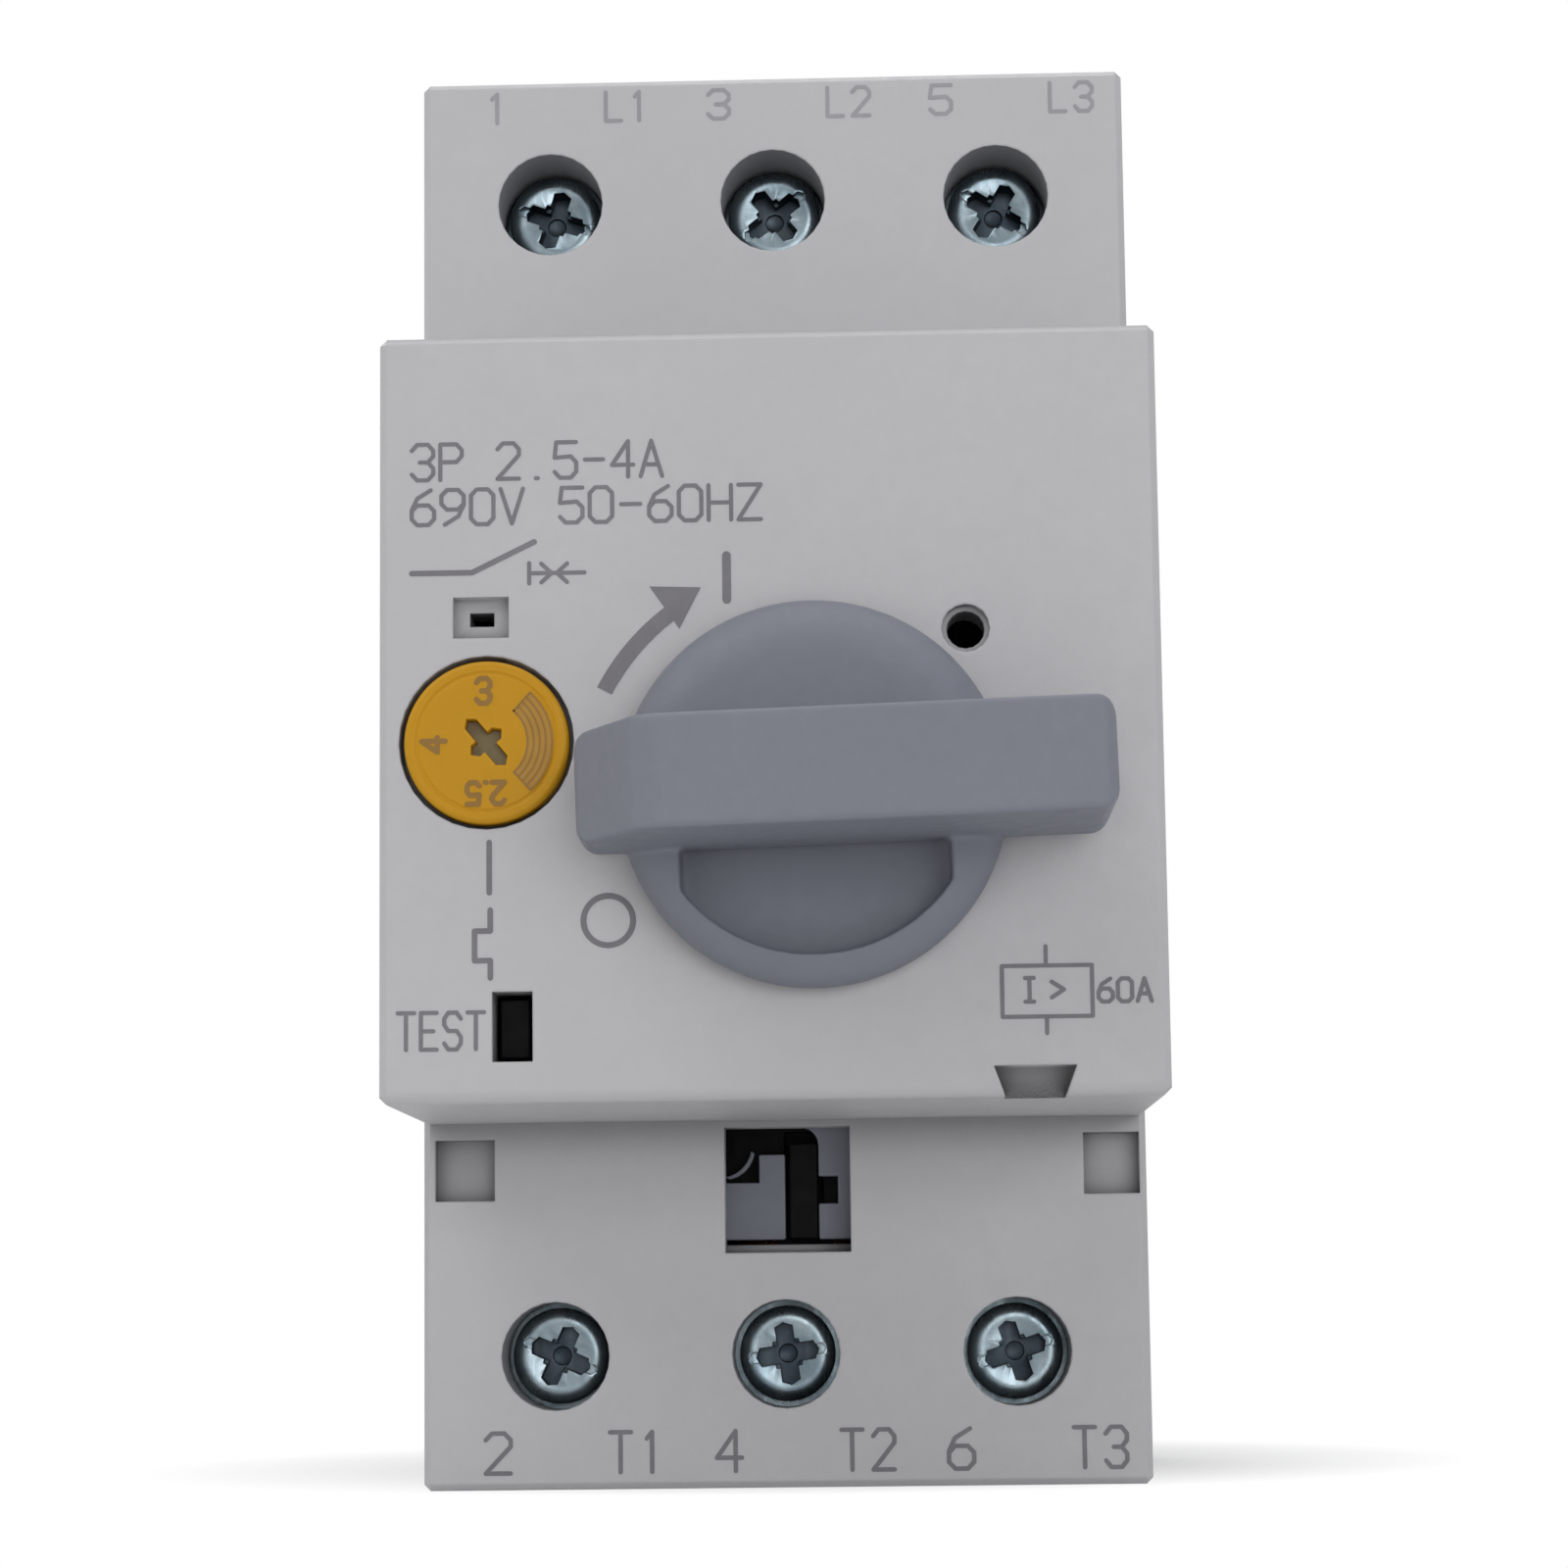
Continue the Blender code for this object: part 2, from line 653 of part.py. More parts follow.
def make_accessory_drive():
    """The insert in the lower window, and the black slider in it that rides on the contact carrier."""
    foot = UNDER_PLATE - 2 * WINDOW_HALF
    wide = WINDOW_HALF + 1.5
    insert = piece(
        "accessory_insert",
        block(
            (WINDOW_X - wide, INSERT_FRONT, -GALLERY_TOP + GAP),
            (WINDOW_X + wide, INSERT_FRONT + 1, -HALF_PLATE - GAP / 2),
        ),
        "handle_grey",
    )
    left = SLIDER_X - SLIDER_HALF - GAP
    right = SLIDER_X + SLIDER_HALF + GAP
    cut(
        insert,
        block((left, INSERT_FRONT - 1, foot + 0.6), (right, INSERT_FRONT + 2, -HALF_PLATE - 1)),
        block((right - 1, INSERT_FRONT - 1, foot + 2.6), (right + 1.2, INSERT_FRONT + 2, foot + 4.2)),
    )
    nose_top = -HALF_PLATE - 1 - GAP
    slider = piece(
        "accessory_slider",
        block(
            (SLIDER_X - SLIDER_HALF, INSERT_FRONT + 0.2, foot + 0.6 + GAP),
            (SLIDER_X + SLIDER_HALF, ARM_FRONT + 3, nose_top),
        ),
        "black_plastic",
    )
    far = ARM_X + 1
    join(
        slider,
        block((SLIDER_X - SLIDER_HALF, ARM_FRONT + 1.3, foot + 1.2), (far, ARM_FRONT + 2.9, foot + 3.2)),
        block((ARM_X - 1, ARM_FRONT + 1.3, foot + 1.2), (far, ARM_FRONT + 2.9, AXIS_Z)),
        block((ARM_X - 1, ARM_FRONT, AXIS_Z - 2.4), (far, ARM_FRONT + 2.9, AXIS_Z)),
    )


def make_contact_carrier():
    """The moulded bridge carrier: a beam over the poles, a leg into each, and two posts up to the cam."""
    margin = 0.6
    beam_half = POLE_PITCH + LEG_HALF + margin
    beam = block(
        (-beam_half, CARRIER_FRONT, CONTACT_Z - LEG_DEEP - margin),
        (beam_half, CARRIER_BACK, CONTACT_Z + LEG_DEEP + margin),
    )
    carrier = piece("contact_carrier", beam, "black_plastic")
    left = FOLLOWERS[1] - FOLLOWER_HALF - margin
    right = FOLLOWERS[0] + FOLLOWER_HALF + margin
    low = AXIS_Z - FOLLOWER_DEEP - margin
    join(carrier, block((left, CARRIER_FRONT, low), (right, CARRIER_BACK, CONTACT_Z)))
    for x in FOLLOWERS:
        shoulder = TIP_FRONT + TIP_HEIGHT
        profile = [
            (x - FOLLOWER_HALF, CARRIER_FRONT + 1),
            (x - FOLLOWER_HALF, shoulder),
            (x + FOLLOWER_HALF, shoulder),
            (x + FOLLOWER_HALF, CARRIER_FRONT + 1),
        ]
        tip = block(
            (x - FOLLOWER_DEEP, TIP_FRONT, AXIS_Z - TIP_HALF),
            (x + FOLLOWER_DEEP, shoulder + 1, AXIS_Z + TIP_HALF),
        )
        join(carrier, outline("Z", profile, AXIS_Z - FOLLOWER_DEEP, AXIS_Z + FOLLOWER_DEEP), tip)
    for x in POLES.values():
        cheek = LEG_HALF - LEG_CHEEK
        join(
            carrier,
            block(
                (x - LEG_HALF, CARRIER_BACK - 1, CONTACT_Z - LEG_DEEP),
                (x + LEG_HALF, LEG_BACK, CONTACT_Z + LEG_DEEP),
            ),
        )
        cut(
            carrier,
            block(
                (x - cheek, WINDOW_FRONT, CONTACT_Z - LEG_DEEP - 1),
                (x + cheek, WINDOW_BACK, CONTACT_Z + LEG_DEEP + 1),
            ),
            rod("Y", (x, CONTACT_Z), PIN_RADIUS + 2 * GAP, WINDOW_BACK - 1, LEG_BACK + 1, sides=12),
        )
    for name, x in (("left", -POLE_PITCH / 2), ("right", POLE_PITCH / 2)):
        front = CARRIER_BACK + GAP
        wound = coil("Y", (x, CONTACT_Z), RETURN_SPRING_RADIUS, WIRE_RADIUS, front, COVER_BACK, 3)
        piece(f"return_spring_{name}", wound, "spring_steel", smooth=True)


def make_bracket():
    """The steel bracket behind the front plate: the shaft's rear bearing and the latch lever's pivot."""
    inside = INSIDE_X - GAP
    bracket = piece(
        "mechanism_bracket",
        block((-inside, BRACKET_FRONT, BRACKET_LOW), (inside, BRACKET_BACK, INSIDE_Z - GAP)),
        "zinc_steel",
    )
    ear_right = LEVER_X - LEVER_HALF - 2 * GAP
    ear = [
        (BRACKET_FRONT + 0.5, BRACKET_LOW),
        (BRACKET_FRONT + 0.5, LEVER_Z + 2.4),
        (LEVER_Y - 2, LEVER_Z + 2.4),
        (LEVER_Y - 2, BRACKET_LOW),
    ]
    join(bracket, outline("X", ear, ear_right - EAR_THICK, ear_right))
    cut(
        bracket,
        rod("X", (LEVER_Y, LEVER_Z), PIVOT_RADIUS + GAP, ear_right - EAR_THICK - 1, ear_right + 1, sides=16),
        rod("Y", (AXIS_X, AXIS_Z), SHAFT_RADIUS + GAP, BRACKET_FRONT - 1, BRACKET_BACK + 1),
    )
    for x in FOLLOWERS:
        cut(
            bracket,
            block(
                (x - FOLLOWER_HALF - GAP, BRACKET_FRONT - 1, AXIS_Z - FOLLOWER_DEEP - GAP),
                (x + FOLLOWER_HALF + GAP, BRACKET_BACK + 1, AXIS_Z + FOLLOWER_DEEP + GAP),
            ),
        )


def dish_outline():
    """The finger dish below the grip: straight sides and a round foot."""
    start = math.acos(DISH_HALF / DISH_RADIUS)
    points = [(AXIS_X + DISH_HALF, AXIS_Z - GRIP_HALF), (AXIS_X - DISH_HALF, AXIS_Z - GRIP_HALF)]
    steps = 10
    for step in range(steps + 1):
        angle = math.pi + start + (math.pi - 2 * start) * step / steps
        points.append((AXIS_X + DISH_RADIUS * math.cos(angle), AXIS_Z + DISH_RADIUS * math.sin(angle)))
    return points


def make_handle():
    """The knob with its grip, the shaft it turns, and the face cam on the shaft."""
    pivot = (AXIS_X, PLATE_FRONT, AXIS_Z)
    knob_front = PLATE_FRONT - KNOB_RISE
    handle = piece(
        "rotary_handle",
        rod("Y", (AXIS_X, AXIS_Z), KNOB_RADIUS, knob_front, PLATE_FRONT - GAP, sides=48),
        "handle_grey",
        pivot,
        smooth=True,
    )
    under = PLATE_FRONT - GRIP_UNDER
    grip = [
        (AXIS_X + GRIP_RIGHT, under),
        (AXIS_X + GRIP_RIGHT, GRIP_FRONT),
        (AXIS_X - GRIP_TOP_LEFT, GRIP_FRONT),
        (AXIS_X - GRIP_LEFT, GRIP_FRONT + NOSE_DROP),
        (AXIS_X - GRIP_LEFT, under),
    ]
    cut(handle, outline("Y", dish_outline(), knob_front - 1, knob_front + DISH_DEPTH))
    join(handle, outline("Z", grip, AXIS_Z - GRIP_HALF, AXIS_Z + GRIP_HALF))
    bore_end = PLATE_FRONT - SHAFT_IN_KNOB
    cut(handle, rod("Y", (AXIS_X, AXIS_Z), SHAFT_RADIUS + GAP, bore_end - GAP, PLATE_FRONT + 1))
    shaft = rod("Y", (AXIS_X, AXIS_Z), SHAFT_RADIUS, bore_end, BRACKET_BACK)
    piece("handle_shaft", shaft, "zinc_steel", pivot, smooth=True)
    disc = rod("Y", (AXIS_X, AXIS_Z), CAM_RADIUS, CAM_FRONT, RAMP_BASE, sides=32)
    cam = piece("drive_cam", disc, "black_plastic", pivot, smooth=True)
    join(cam, *(ramp(start) for start in (0, 180)))
    cut(cam, rod("Y", (AXIS_X, AXIS_Z), SHAFT_RADIUS + GAP, CAM_FRONT - 1, RAMP_BASE + 1))


def ramp(start):
    """A helical ramp on the cam's back: it rises by the contact travel in a quarter turn."""
    bm = bmesh.new()
    rise = CONTACT_TRAVEL / 90
    span = 90 + 2 * RAMP_OVERRUN
    base = RAMP_BASE - CAM_DISC / 2
    outer_radius = CAM_RADIUS - 0.2
    rings = []
    for step in range(RAMP_STEPS + 1):
        turned = span * step / RAMP_STEPS - RAMP_OVERRUN
        angle = math.radians(start + turned)
        top = RAMP_BASE + RAMP_LOW + rise * turned
        ring = []
        for radius, y in ((RAMP_INNER, base), (outer_radius, base), (outer_radius, top), (RAMP_INNER, top)):
            x = AXIS_X + radius * math.cos(angle)
            z = AXIS_Z + radius * math.sin(angle)
            ring.append(bm.verts.new(Vector((x, y, z)) * MM))
        rings.append(ring)
    for first, second in zip(rings, rings[1:]):
        for corner in range(4):
            after = (corner + 1) % 4
            bm.faces.new((first[corner], first[after], second[after], second[corner]))
    bm.faces.new(reversed(rings[0]))
    bm.faces.new(rings[-1])
    bmesh.ops.recalc_face_normals(bm, faces=bm.faces)
    return to_mesh(bm, "ramp")


def make_setting_dial():
    front = PLATE_FRONT - DIAL_PROUD
    back = front + DIAL_THICK
    stem_back = back + DIAL_STEM_LENGTH
    dial = piece(
        "setting_dial",
        rod("Y", (DIAL_X, DIAL_Z), DIAL_RADIUS, front, back, sides=40),
        "dial_yellow",
        (DIAL_X, front, DIAL_Z),
        smooth=True,
    )
    join(
        dial,
        rod("Y", (DIAL_X, DIAL_Z), DIAL_STEM, back - 0.5, stem_back),
        rod("Y", (DIAL_X + 0.7, DIAL_Z), DIAL_STEM - 0.8, stem_back - 0.5, stem_back + 2, sides=16),
    )
    for half_x, half_z in ((1.6, 0.35), (0.35, 1.6)):
        cut(
            dial,
            block(
                (DIAL_X - half_x, front - 1, DIAL_Z - half_z),
                (DIAL_X + half_x, front + 0.8, DIAL_Z + half_z),
            ),
        )


def make_trip_chain():
    """The test pusher, the trip bar across the poles, and the latch lever that it frees."""
    half_x = TEST_HALF_X - TEST_PLAY
    half_z = TEST_HALF_Z - TEST_PLAY
    arm_front = BAR_Y - 1.8
    pusher_back = arm_front - GAP
    profile = [
        (PLATE_FRONT + TEST_RECESS, TEST_Z + half_z),
        (PLATE_FRONT + TEST_RECESS, TEST_Z - half_z),
        (pusher_back, TEST_Z - half_z),
        (pusher_back, TEST_Z + 0.1),
        (pusher_back - 1.4, TEST_Z + half_z),
    ]
    piece("test_pusher", outline("X", profile, TEST_X - half_x, TEST_X + half_x), "black_plastic")

    bar = piece(
        "trip_bar",
        rod("X", (BAR_Y, BAR_Z), BAR_RADIUS, -INSIDE_X - 0.5, INSIDE_X + 0.5, sides=16),
        "black_plastic",
        (0, BAR_Y, BAR_Z),
        smooth=True,
    )
    foot_top = BIMETAL_Z + BIMETAL_THICK / 2 + 2 * GAP + ARM_THICK
    hang = [
        (BAR_Y - 0.6, BAR_Z),
        (BAR_Y - 0.6, foot_top - ARM_THICK),
        (BAR_Y + ARM_REACH, foot_top - ARM_THICK),
        (BAR_Y + ARM_REACH, foot_top),
        (BAR_Y + 0.6, foot_top),
        (BAR_Y + 0.6, BAR_Z),
    ]
    for x in POLES.values():
        join(bar, outline("X", hang, x - 1.5, x + 1.5))
    join(
        bar,
        block((TEST_X - 1.2, arm_front, TEST_Z - half_z), (TEST_X + 1.2, BAR_Y - 0.2, BAR_Z + 0.4)),
        block((LEVER_X - LEVER_HALF, BAR_Y - 2.2, BAR_Z - 1), (LEVER_X + LEVER_HALF, BAR_Y, BAR_Z + 1)),
    )

    lever_end = BAR_Y - 2.6
    shape = [
        (lever_end, BAR_Z - 0.8),
        (lever_end, BAR_Z + 1),
        (LEVER_Y + 1.8, LEVER_Z + 0.4),
        (LEVER_Y - 3.2, LEVER_Z + 5.2),
        (LEVER_Y - 5.4, LEVER_Z + 5.2),
        (LEVER_Y - 5.4, LEVER_Z + 3.4),
        (LEVER_Y - 1.6, LEVER_Z - 1.6),
        (lever_end - 2.4, BAR_Z - 0.8),
    ]
    lever = piece(
        "latch_lever",
        outline("X", shape, LEVER_X - LEVER_HALF, LEVER_X + LEVER_HALF),
        "zinc_steel",
        (LEVER_X, LEVER_Y, LEVER_Z),
    )
    left = LEVER_X - LEVER_HALF
    join(
        lever,
        rod("X", (LEVER_Y, LEVER_Z), PIVOT_RADIUS, left - 2 * GAP - EAR_THICK - 0.6, left + 0.5, sides=12),
        block(
            (LEVER_X, LEVER_Y - 5.4, LEVER_Z + 3.4),
            (AXIS_X - CAM_RADIUS - GAP, LEVER_Y - 3.2, LEVER_Z + 5.2),
        ),
    )


def strap(points, x, name):
    """A bent strip of copper, its outline in (y, z), centred on its pole."""
    return piece(name, outline("X", points, x - STRAP_HALF, x + STRAP_HALF), "copper")


def make_terminals(pole, x):
    """Line terminal above and load terminal below, each with its clamp plate and screw."""
    line_end = CONTACT_Z + CONTACT_SPREAD - BUTTON_HALF - 0.6
    button_low = CONTACT_Z + CONTACT_SPREAD - BUTTON_HALF
    button_high = CONTACT_Z + CONTACT_SPREAD + BUTTON_HALF
    run = BAR_INNER + STRAP_THICK
    line = [
        (BAR_FRONT, BAR_OUTER),
        (BAR_FRONT, BAR_INNER),
        (STRIP_FRONT, BAR_INNER),
        (STRIP_FRONT, button_high),
        (CONTACT_FACE, button_high),
        (CONTACT_FACE, button_low),
        (STRIP_FRONT, button_low),
        (STRIP_FRONT, line_end),
        (STRIP_BACK, line_end),
        (STRIP_BACK, run),
        (BAR_BACK, run),
        (BAR_BACK, BAR_OUTER),
    ]
    rise = FLOOR - 4.5
    load = [
        (BAR_FRONT, -BAR_OUTER),
        (BAR_BACK, -BAR_OUTER),
        (BAR_BACK, -run),
        (rise, -run),
        (rise, BIMETAL_Z - 4),
        (rise - STRAP_THICK, BIMETAL_Z - 4),
        (rise - STRAP_THICK, -BAR_INNER),
        (BAR_FRONT, -BAR_INNER),
    ]
    for kind, side, profile in (("line", 1, line), ("load", -1, load)):
        z = side * SCREW_Z
        terminal = strap(profile, x, f"{kind}_terminal_{pole}")
        hole = SHANK_RADIUS + GAP
        cut(terminal, rod("Y", (x, z), hole, BAR_FRONT - 1, BAR_BACK + 1, sides=16))
        clamp = piece(
            f"{kind}_clamp_{pole}",
            block(
                (x - CLAMP_HALF, CLAMP_FRONT, z - CLAMP_HALF),
                (x + CLAMP_HALF, CLAMP_BACK, z + CLAMP_HALF),
            ),
            "zinc_steel",
        )
        cut(clamp, rod("Y", (x, z), hole, CLAMP_FRONT - 1, CLAMP_BACK + 1, sides=16))
        make_screw(f"{kind}_screw_{pole}", x, z)


def make_screw(name, x, z):
    screw = piece(
        name,
        rod("Y", (x, z), HEAD_RADIUS, HEAD_FRONT, HEAD_BACK, sides=24),
        "zinc_steel",
        (x, HEAD_FRONT, z),
        smooth=True,
    )
    join(screw, rod("Y", (x, z), SHANK_RADIUS, HEAD_BACK - 0.5, BAR_BACK + SHANK_PAST_BAR, sides=16))
    for half_x, half_z in ((1.9, 0.45), (0.45, 1.9)):
        low = (x - half_x, HEAD_FRONT - 1, z - half_z)
        cut(screw, block(low, (x + half_x, HEAD_FRONT + RECESS_DEPTH, z + half_z)))


def make_contacts(pole, x):
    """Fixed contact below, moving bridge with its spring in the carrier's leg, and the arc chutes."""
    low_contact = CONTACT_Z - CONTACT_SPREAD
    foot = low_contact - 16
    fixed = [
        (STRIP_FRONT, foot),
        (STRIP_FRONT, low_contact - BUTTON_HALF),
        (CONTACT_FACE, low_contact - BUTTON_HALF),
        (CONTACT_FACE, low_contact + BUTTON_HALF),
        (STRIP_FRONT, low_contact + BUTTON_HALF),
        (STRIP_FRONT, low_contact + BUTTON_HALF + 0.6),
        (STRIP_BACK, low_contact + BUTTON_HALF + 0.6),
        (STRIP_BACK, foot + STRAP_THICK),
        (FLOOR - GAP, foot + STRAP_THICK),
        (FLOOR - GAP, foot),
    ]
    strap(fixed, x, f"fixed_contact_{pole}")
    reach = CONTACT_SPREAD + BUTTON_HALF
    contact = [
        (BRIDGE_FRONT, CONTACT_Z - reach),
        (BRIDGE_BACK + BUTTON_THICK, CONTACT_Z - reach),
        (BRIDGE_BACK + BUTTON_THICK, CONTACT_Z - reach + 2 * BUTTON_HALF),
        (BRIDGE_BACK, CONTACT_Z - reach + 2 * BUTTON_HALF),
        (BRIDGE_BACK, CONTACT_Z + reach - 2 * BUTTON_HALF),
        (BRIDGE_BACK + BUTTON_THICK, CONTACT_Z + reach - 2 * BUTTON_HALF),
        (BRIDGE_BACK + BUTTON_THICK, CONTACT_Z + reach),
        (BRIDGE_FRONT, CONTACT_Z + reach),
    ]
    piece(f"contact_bridge_{pole}", outline("X", contact, x - BRIDGE_HALF, x + BRIDGE_HALF), "copper")
    wound = coil(
        "Y", (x, CONTACT_Z), CONTACT_SPRING_RADIUS, WIRE_RADIUS, WINDOW_FRONT + GAP, BRIDGE_FRONT - GAP, 3
    )
    piece(f"contact_spring_{pole}", wound, "spring_steel", smooth=True)
    upper_low = CONTACT_Z + CONTACT_SPREAD + BUTTON_HALF + 1.6
    lower_high = low_contact - BUTTON_HALF - 1.6
    make_chute(f"upper_arc_chute_{pole}", x, upper_low, BAR_INNER - 0.7)
    make_chute(f"lower_arc_chute_{pole}", x, foot + 1.4, lower_high)


def make_chute(name, x, low, high):
    """A comb of splitter plates on one spine."""
    front = SPLIT + 0.5
    back = STRIP_FRONT - GAP
    pitch = (high - low - CHUTE_PLATE) / (CHUTE_PLATES - 1)
    points = [(front, high), (front, low)]
    for plate in range(CHUTE_PLATES):
        foot = low + plate * pitch
        points += [(back, foot), (back, foot + CHUTE_PLATE)]
        if plate < CHUTE_PLATES - 1:
            points += [(front + 0.8, foot + CHUTE_PLATE), (front + 0.8, foot + pitch)]
    piece(name, outline("X", points, x - CHUTE_HALF, x + CHUTE_HALF), "fibre")


def make_releases(pole, x):
    """The magnetic release's coil and plunger behind the contacts, and the bimetal below them."""
    back = FLOOR - GAP
    wound = coil("Y", (x, CONTACT_Z), COIL_RADIUS, COIL_WIRE, back - COIL_LENGTH, back, COIL_TURNS, 12)
    piece(f"trip_coil_{pole}", wound, "copper", smooth=True)
    shoulder = back - PLUNGER_LENGTH
    plunger = piece(
        f"trip_plunger_{pole}",
        rod("Y", (x, CONTACT_Z), PLUNGER_RADIUS, shoulder, back, sides=16),
        "zinc_steel",
        (x, back, CONTACT_Z),
        smooth=True,
    )
    join(plunger, rod("Y", (x, CONTACT_Z), PIN_RADIUS, shoulder - PIN_LENGTH, shoulder + 0.5, sides=12))
    foot_back = FLOOR - 4.5 + GAP + BIMETAL_THICK
    top = BIMETAL_Z + BIMETAL_THICK / 2
    bent = [
        (BIMETAL_TIP, top),
        (BIMETAL_TIP, top - BIMETAL_THICK),
        (foot_back - BIMETAL_THICK, top - BIMETAL_THICK),
        (foot_back - BIMETAL_THICK, BIMETAL_Z - 10),
        (foot_back, BIMETAL_Z - 10),
        (foot_back, top),
    ]
    piece(f"bimetal_{pole}", outline("X", bent, x - BIMETAL_HALF, x + BIMETAL_HALF), "bimetal")


clear_scene()
PIECES = new_collection("motor_protective_breaker")
CUTTERS = new_collection("cutters")
make_rear_housing()
make_front_cover()
make_rail_latch()
make_accessory_drive()
make_contact_carrier()
make_bracket()
make_handle()
make_setting_dial()
make_trip_chain()
for pole, x in POLES.items():
    make_terminals(pole, x)
    make_contacts(pole, x)
    make_releases(pole, x)
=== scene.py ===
import json
import math

import bmesh
import bpy
from mathutils import Matrix, Vector


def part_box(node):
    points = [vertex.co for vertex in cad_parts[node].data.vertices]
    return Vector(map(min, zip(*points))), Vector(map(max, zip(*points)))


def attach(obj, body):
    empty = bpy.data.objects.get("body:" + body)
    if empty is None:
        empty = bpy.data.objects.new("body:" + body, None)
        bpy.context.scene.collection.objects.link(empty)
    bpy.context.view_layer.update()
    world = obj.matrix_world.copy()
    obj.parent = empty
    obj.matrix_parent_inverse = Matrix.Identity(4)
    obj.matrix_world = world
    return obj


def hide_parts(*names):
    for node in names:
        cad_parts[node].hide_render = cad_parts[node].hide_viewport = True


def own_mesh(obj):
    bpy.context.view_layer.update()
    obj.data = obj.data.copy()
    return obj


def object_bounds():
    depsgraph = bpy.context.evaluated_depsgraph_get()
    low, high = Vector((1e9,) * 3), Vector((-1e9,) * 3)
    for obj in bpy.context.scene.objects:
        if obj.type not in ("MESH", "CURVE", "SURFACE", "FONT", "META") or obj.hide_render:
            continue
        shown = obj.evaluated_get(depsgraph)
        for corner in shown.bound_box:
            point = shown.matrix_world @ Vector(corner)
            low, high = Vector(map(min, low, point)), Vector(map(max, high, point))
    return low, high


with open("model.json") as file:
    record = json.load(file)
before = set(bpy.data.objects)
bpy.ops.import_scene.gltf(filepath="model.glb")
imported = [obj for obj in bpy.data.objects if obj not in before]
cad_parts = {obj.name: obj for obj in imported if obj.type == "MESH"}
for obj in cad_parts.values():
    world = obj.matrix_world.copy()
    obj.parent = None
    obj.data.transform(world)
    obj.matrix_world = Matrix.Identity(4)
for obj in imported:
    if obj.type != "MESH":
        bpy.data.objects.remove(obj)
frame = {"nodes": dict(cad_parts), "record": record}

MM = 0.001
CAD_BOUNDS = [list(corner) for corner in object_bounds()]

BODY_OF = {
    node: body
    for body, nodes in frame["record"]["behaviour"]["bodies"].items()
    for node in nodes
}
SLOT_OF = {part["node"]: part["material_slot"] for part in frame["record"]["subparts"]}
POLES = ("l1", "l2", "l3")


def box_mm(node):
    """The two corners of a CAD node's box."""
    low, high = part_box(node)
    return low / MM, high / MM


def linear(srgb):
    """An 8-bit sRGB colour as linear values."""
    values = [c / 255 for c in srgb]
    return [c / 12.92 if c <= 0.04045 else ((c + 0.055) / 1.055) ** 2.4 for c in values]


# ---------------------------------------------------------------- key sizes, from the CAD boxes, in mm

COVER_LOW, COVER_HIGH = box_mm("front_cover")
HANDLE_LOW, HANDLE_HIGH = box_mm("rotary_handle")
DIAL_LOW, DIAL_HIGH = box_mm("setting_dial")
CAM_LOW, CAM_HIGH = box_mm("drive_cam")
HEAD_LOW, HEAD_HIGH = box_mm("line_screw_l2")
PLATE = COVER_LOW.y
DECK = HEAD_LOW.y - 3.0  # the heads lie 3 mm deep in their wells
AXIS_X = (CAM_LOW.x + CAM_HIGH.x) / 2
AXIS_Z = (CAM_LOW.z + CAM_HIGH.z) / 2
DIAL_X = (DIAL_LOW.x + DIAL_HIGH.x) / 2
DIAL_Z = (DIAL_LOW.z + DIAL_HIGH.z) / 2
DIAL_RADIUS = (DIAL_HIGH.x - DIAL_LOW.x) / 2
HEAD_RADIUS = (HEAD_HIGH.x - HEAD_LOW.x) / 2
HALF_PLATE = 22.35  # half the raised section's height


# ---------------------------------------------------------------- node materials


class Tree:
    """A material's node tree, with short calls to add and link nodes."""

    def __init__(self, name):
        self.material = bpy.data.materials.new(name)
        self.material.use_nodes = True
        self.nodes = self.material.node_tree.nodes
        self.links = self.material.node_tree.links
        self.nodes.clear()
        self.output = self.nodes.new("ShaderNodeOutputMaterial")
        self.shader = self.nodes.new("ShaderNodeBsdfPrincipled")
        self.links.new(self.shader.outputs[0], self.output.inputs["Surface"])
        self.place = self.nodes.new("ShaderNodeTexCoord").outputs["Object"]

    def add(self, kind, inputs=(), **settings):
        node = self.nodes.new(kind)
        for key, value in settings.items():
            setattr(node, key, value)
        for key, value in dict(inputs).items():
            if isinstance(value, bpy.types.NodeSocket):
                self.links.new(value, node.inputs[key])
            else:
                node.inputs[key].default_value = value
        return node

    def stretched(self, scale):
        """Object coordinates scaled apart along the three axes."""
        return self.add("ShaderNodeMapping", {"Vector": self.place, "Scale": scale}).outputs[0]

    def noise(self, scale, detail=3.0, roughness=0.55, vector=None, distortion=0.0):
        made = self.add(
            "ShaderNodeTexNoise",
            {
                "Vector": vector or self.place,
                "Scale": scale,
                "Detail": detail,
                "Roughness": roughness,
                "Distortion": distortion,
            },
        )
        return made.outputs["Fac"]

    def spread(self, value, low, high, start=0.3, end=0.7):
        """A value between start and end, as one between low and high."""
        made = self.add(
            "ShaderNodeMapRange",
            {"Value": value, "From Min": start, "From Max": end, "To Min": low, "To Max": high},
        )
        return made.outputs["Result"]

    def mix(self, factor, first, second):
        made = self.add("ShaderNodeMix", data_type="RGBA", blend_type="MIX")
        made.clamp_factor = True
        for index, value in ((0, factor), (6, first), (7, second)):
            if isinstance(value, bpy.types.NodeSocket):
                self.links.new(value, made.inputs[index])
            else:
                made.inputs[index].default_value = value
        return made.outputs[2]

    def bump(self, height, strength, distance, normal=None):
        inputs = {"Height": height, "Strength": strength, "Distance": distance}
        if normal:
            inputs["Normal"] = normal
        return self.add("ShaderNodeBump", inputs).outputs["Normal"]

    def set(self, **inputs):
        for key, value in inputs.items():
            socket = self.shader.inputs[key.replace("_", " ")]
            if isinstance(value, bpy.types.NodeSocket):
                self.links.new(value, socket)
            else:
                socket.default_value = value


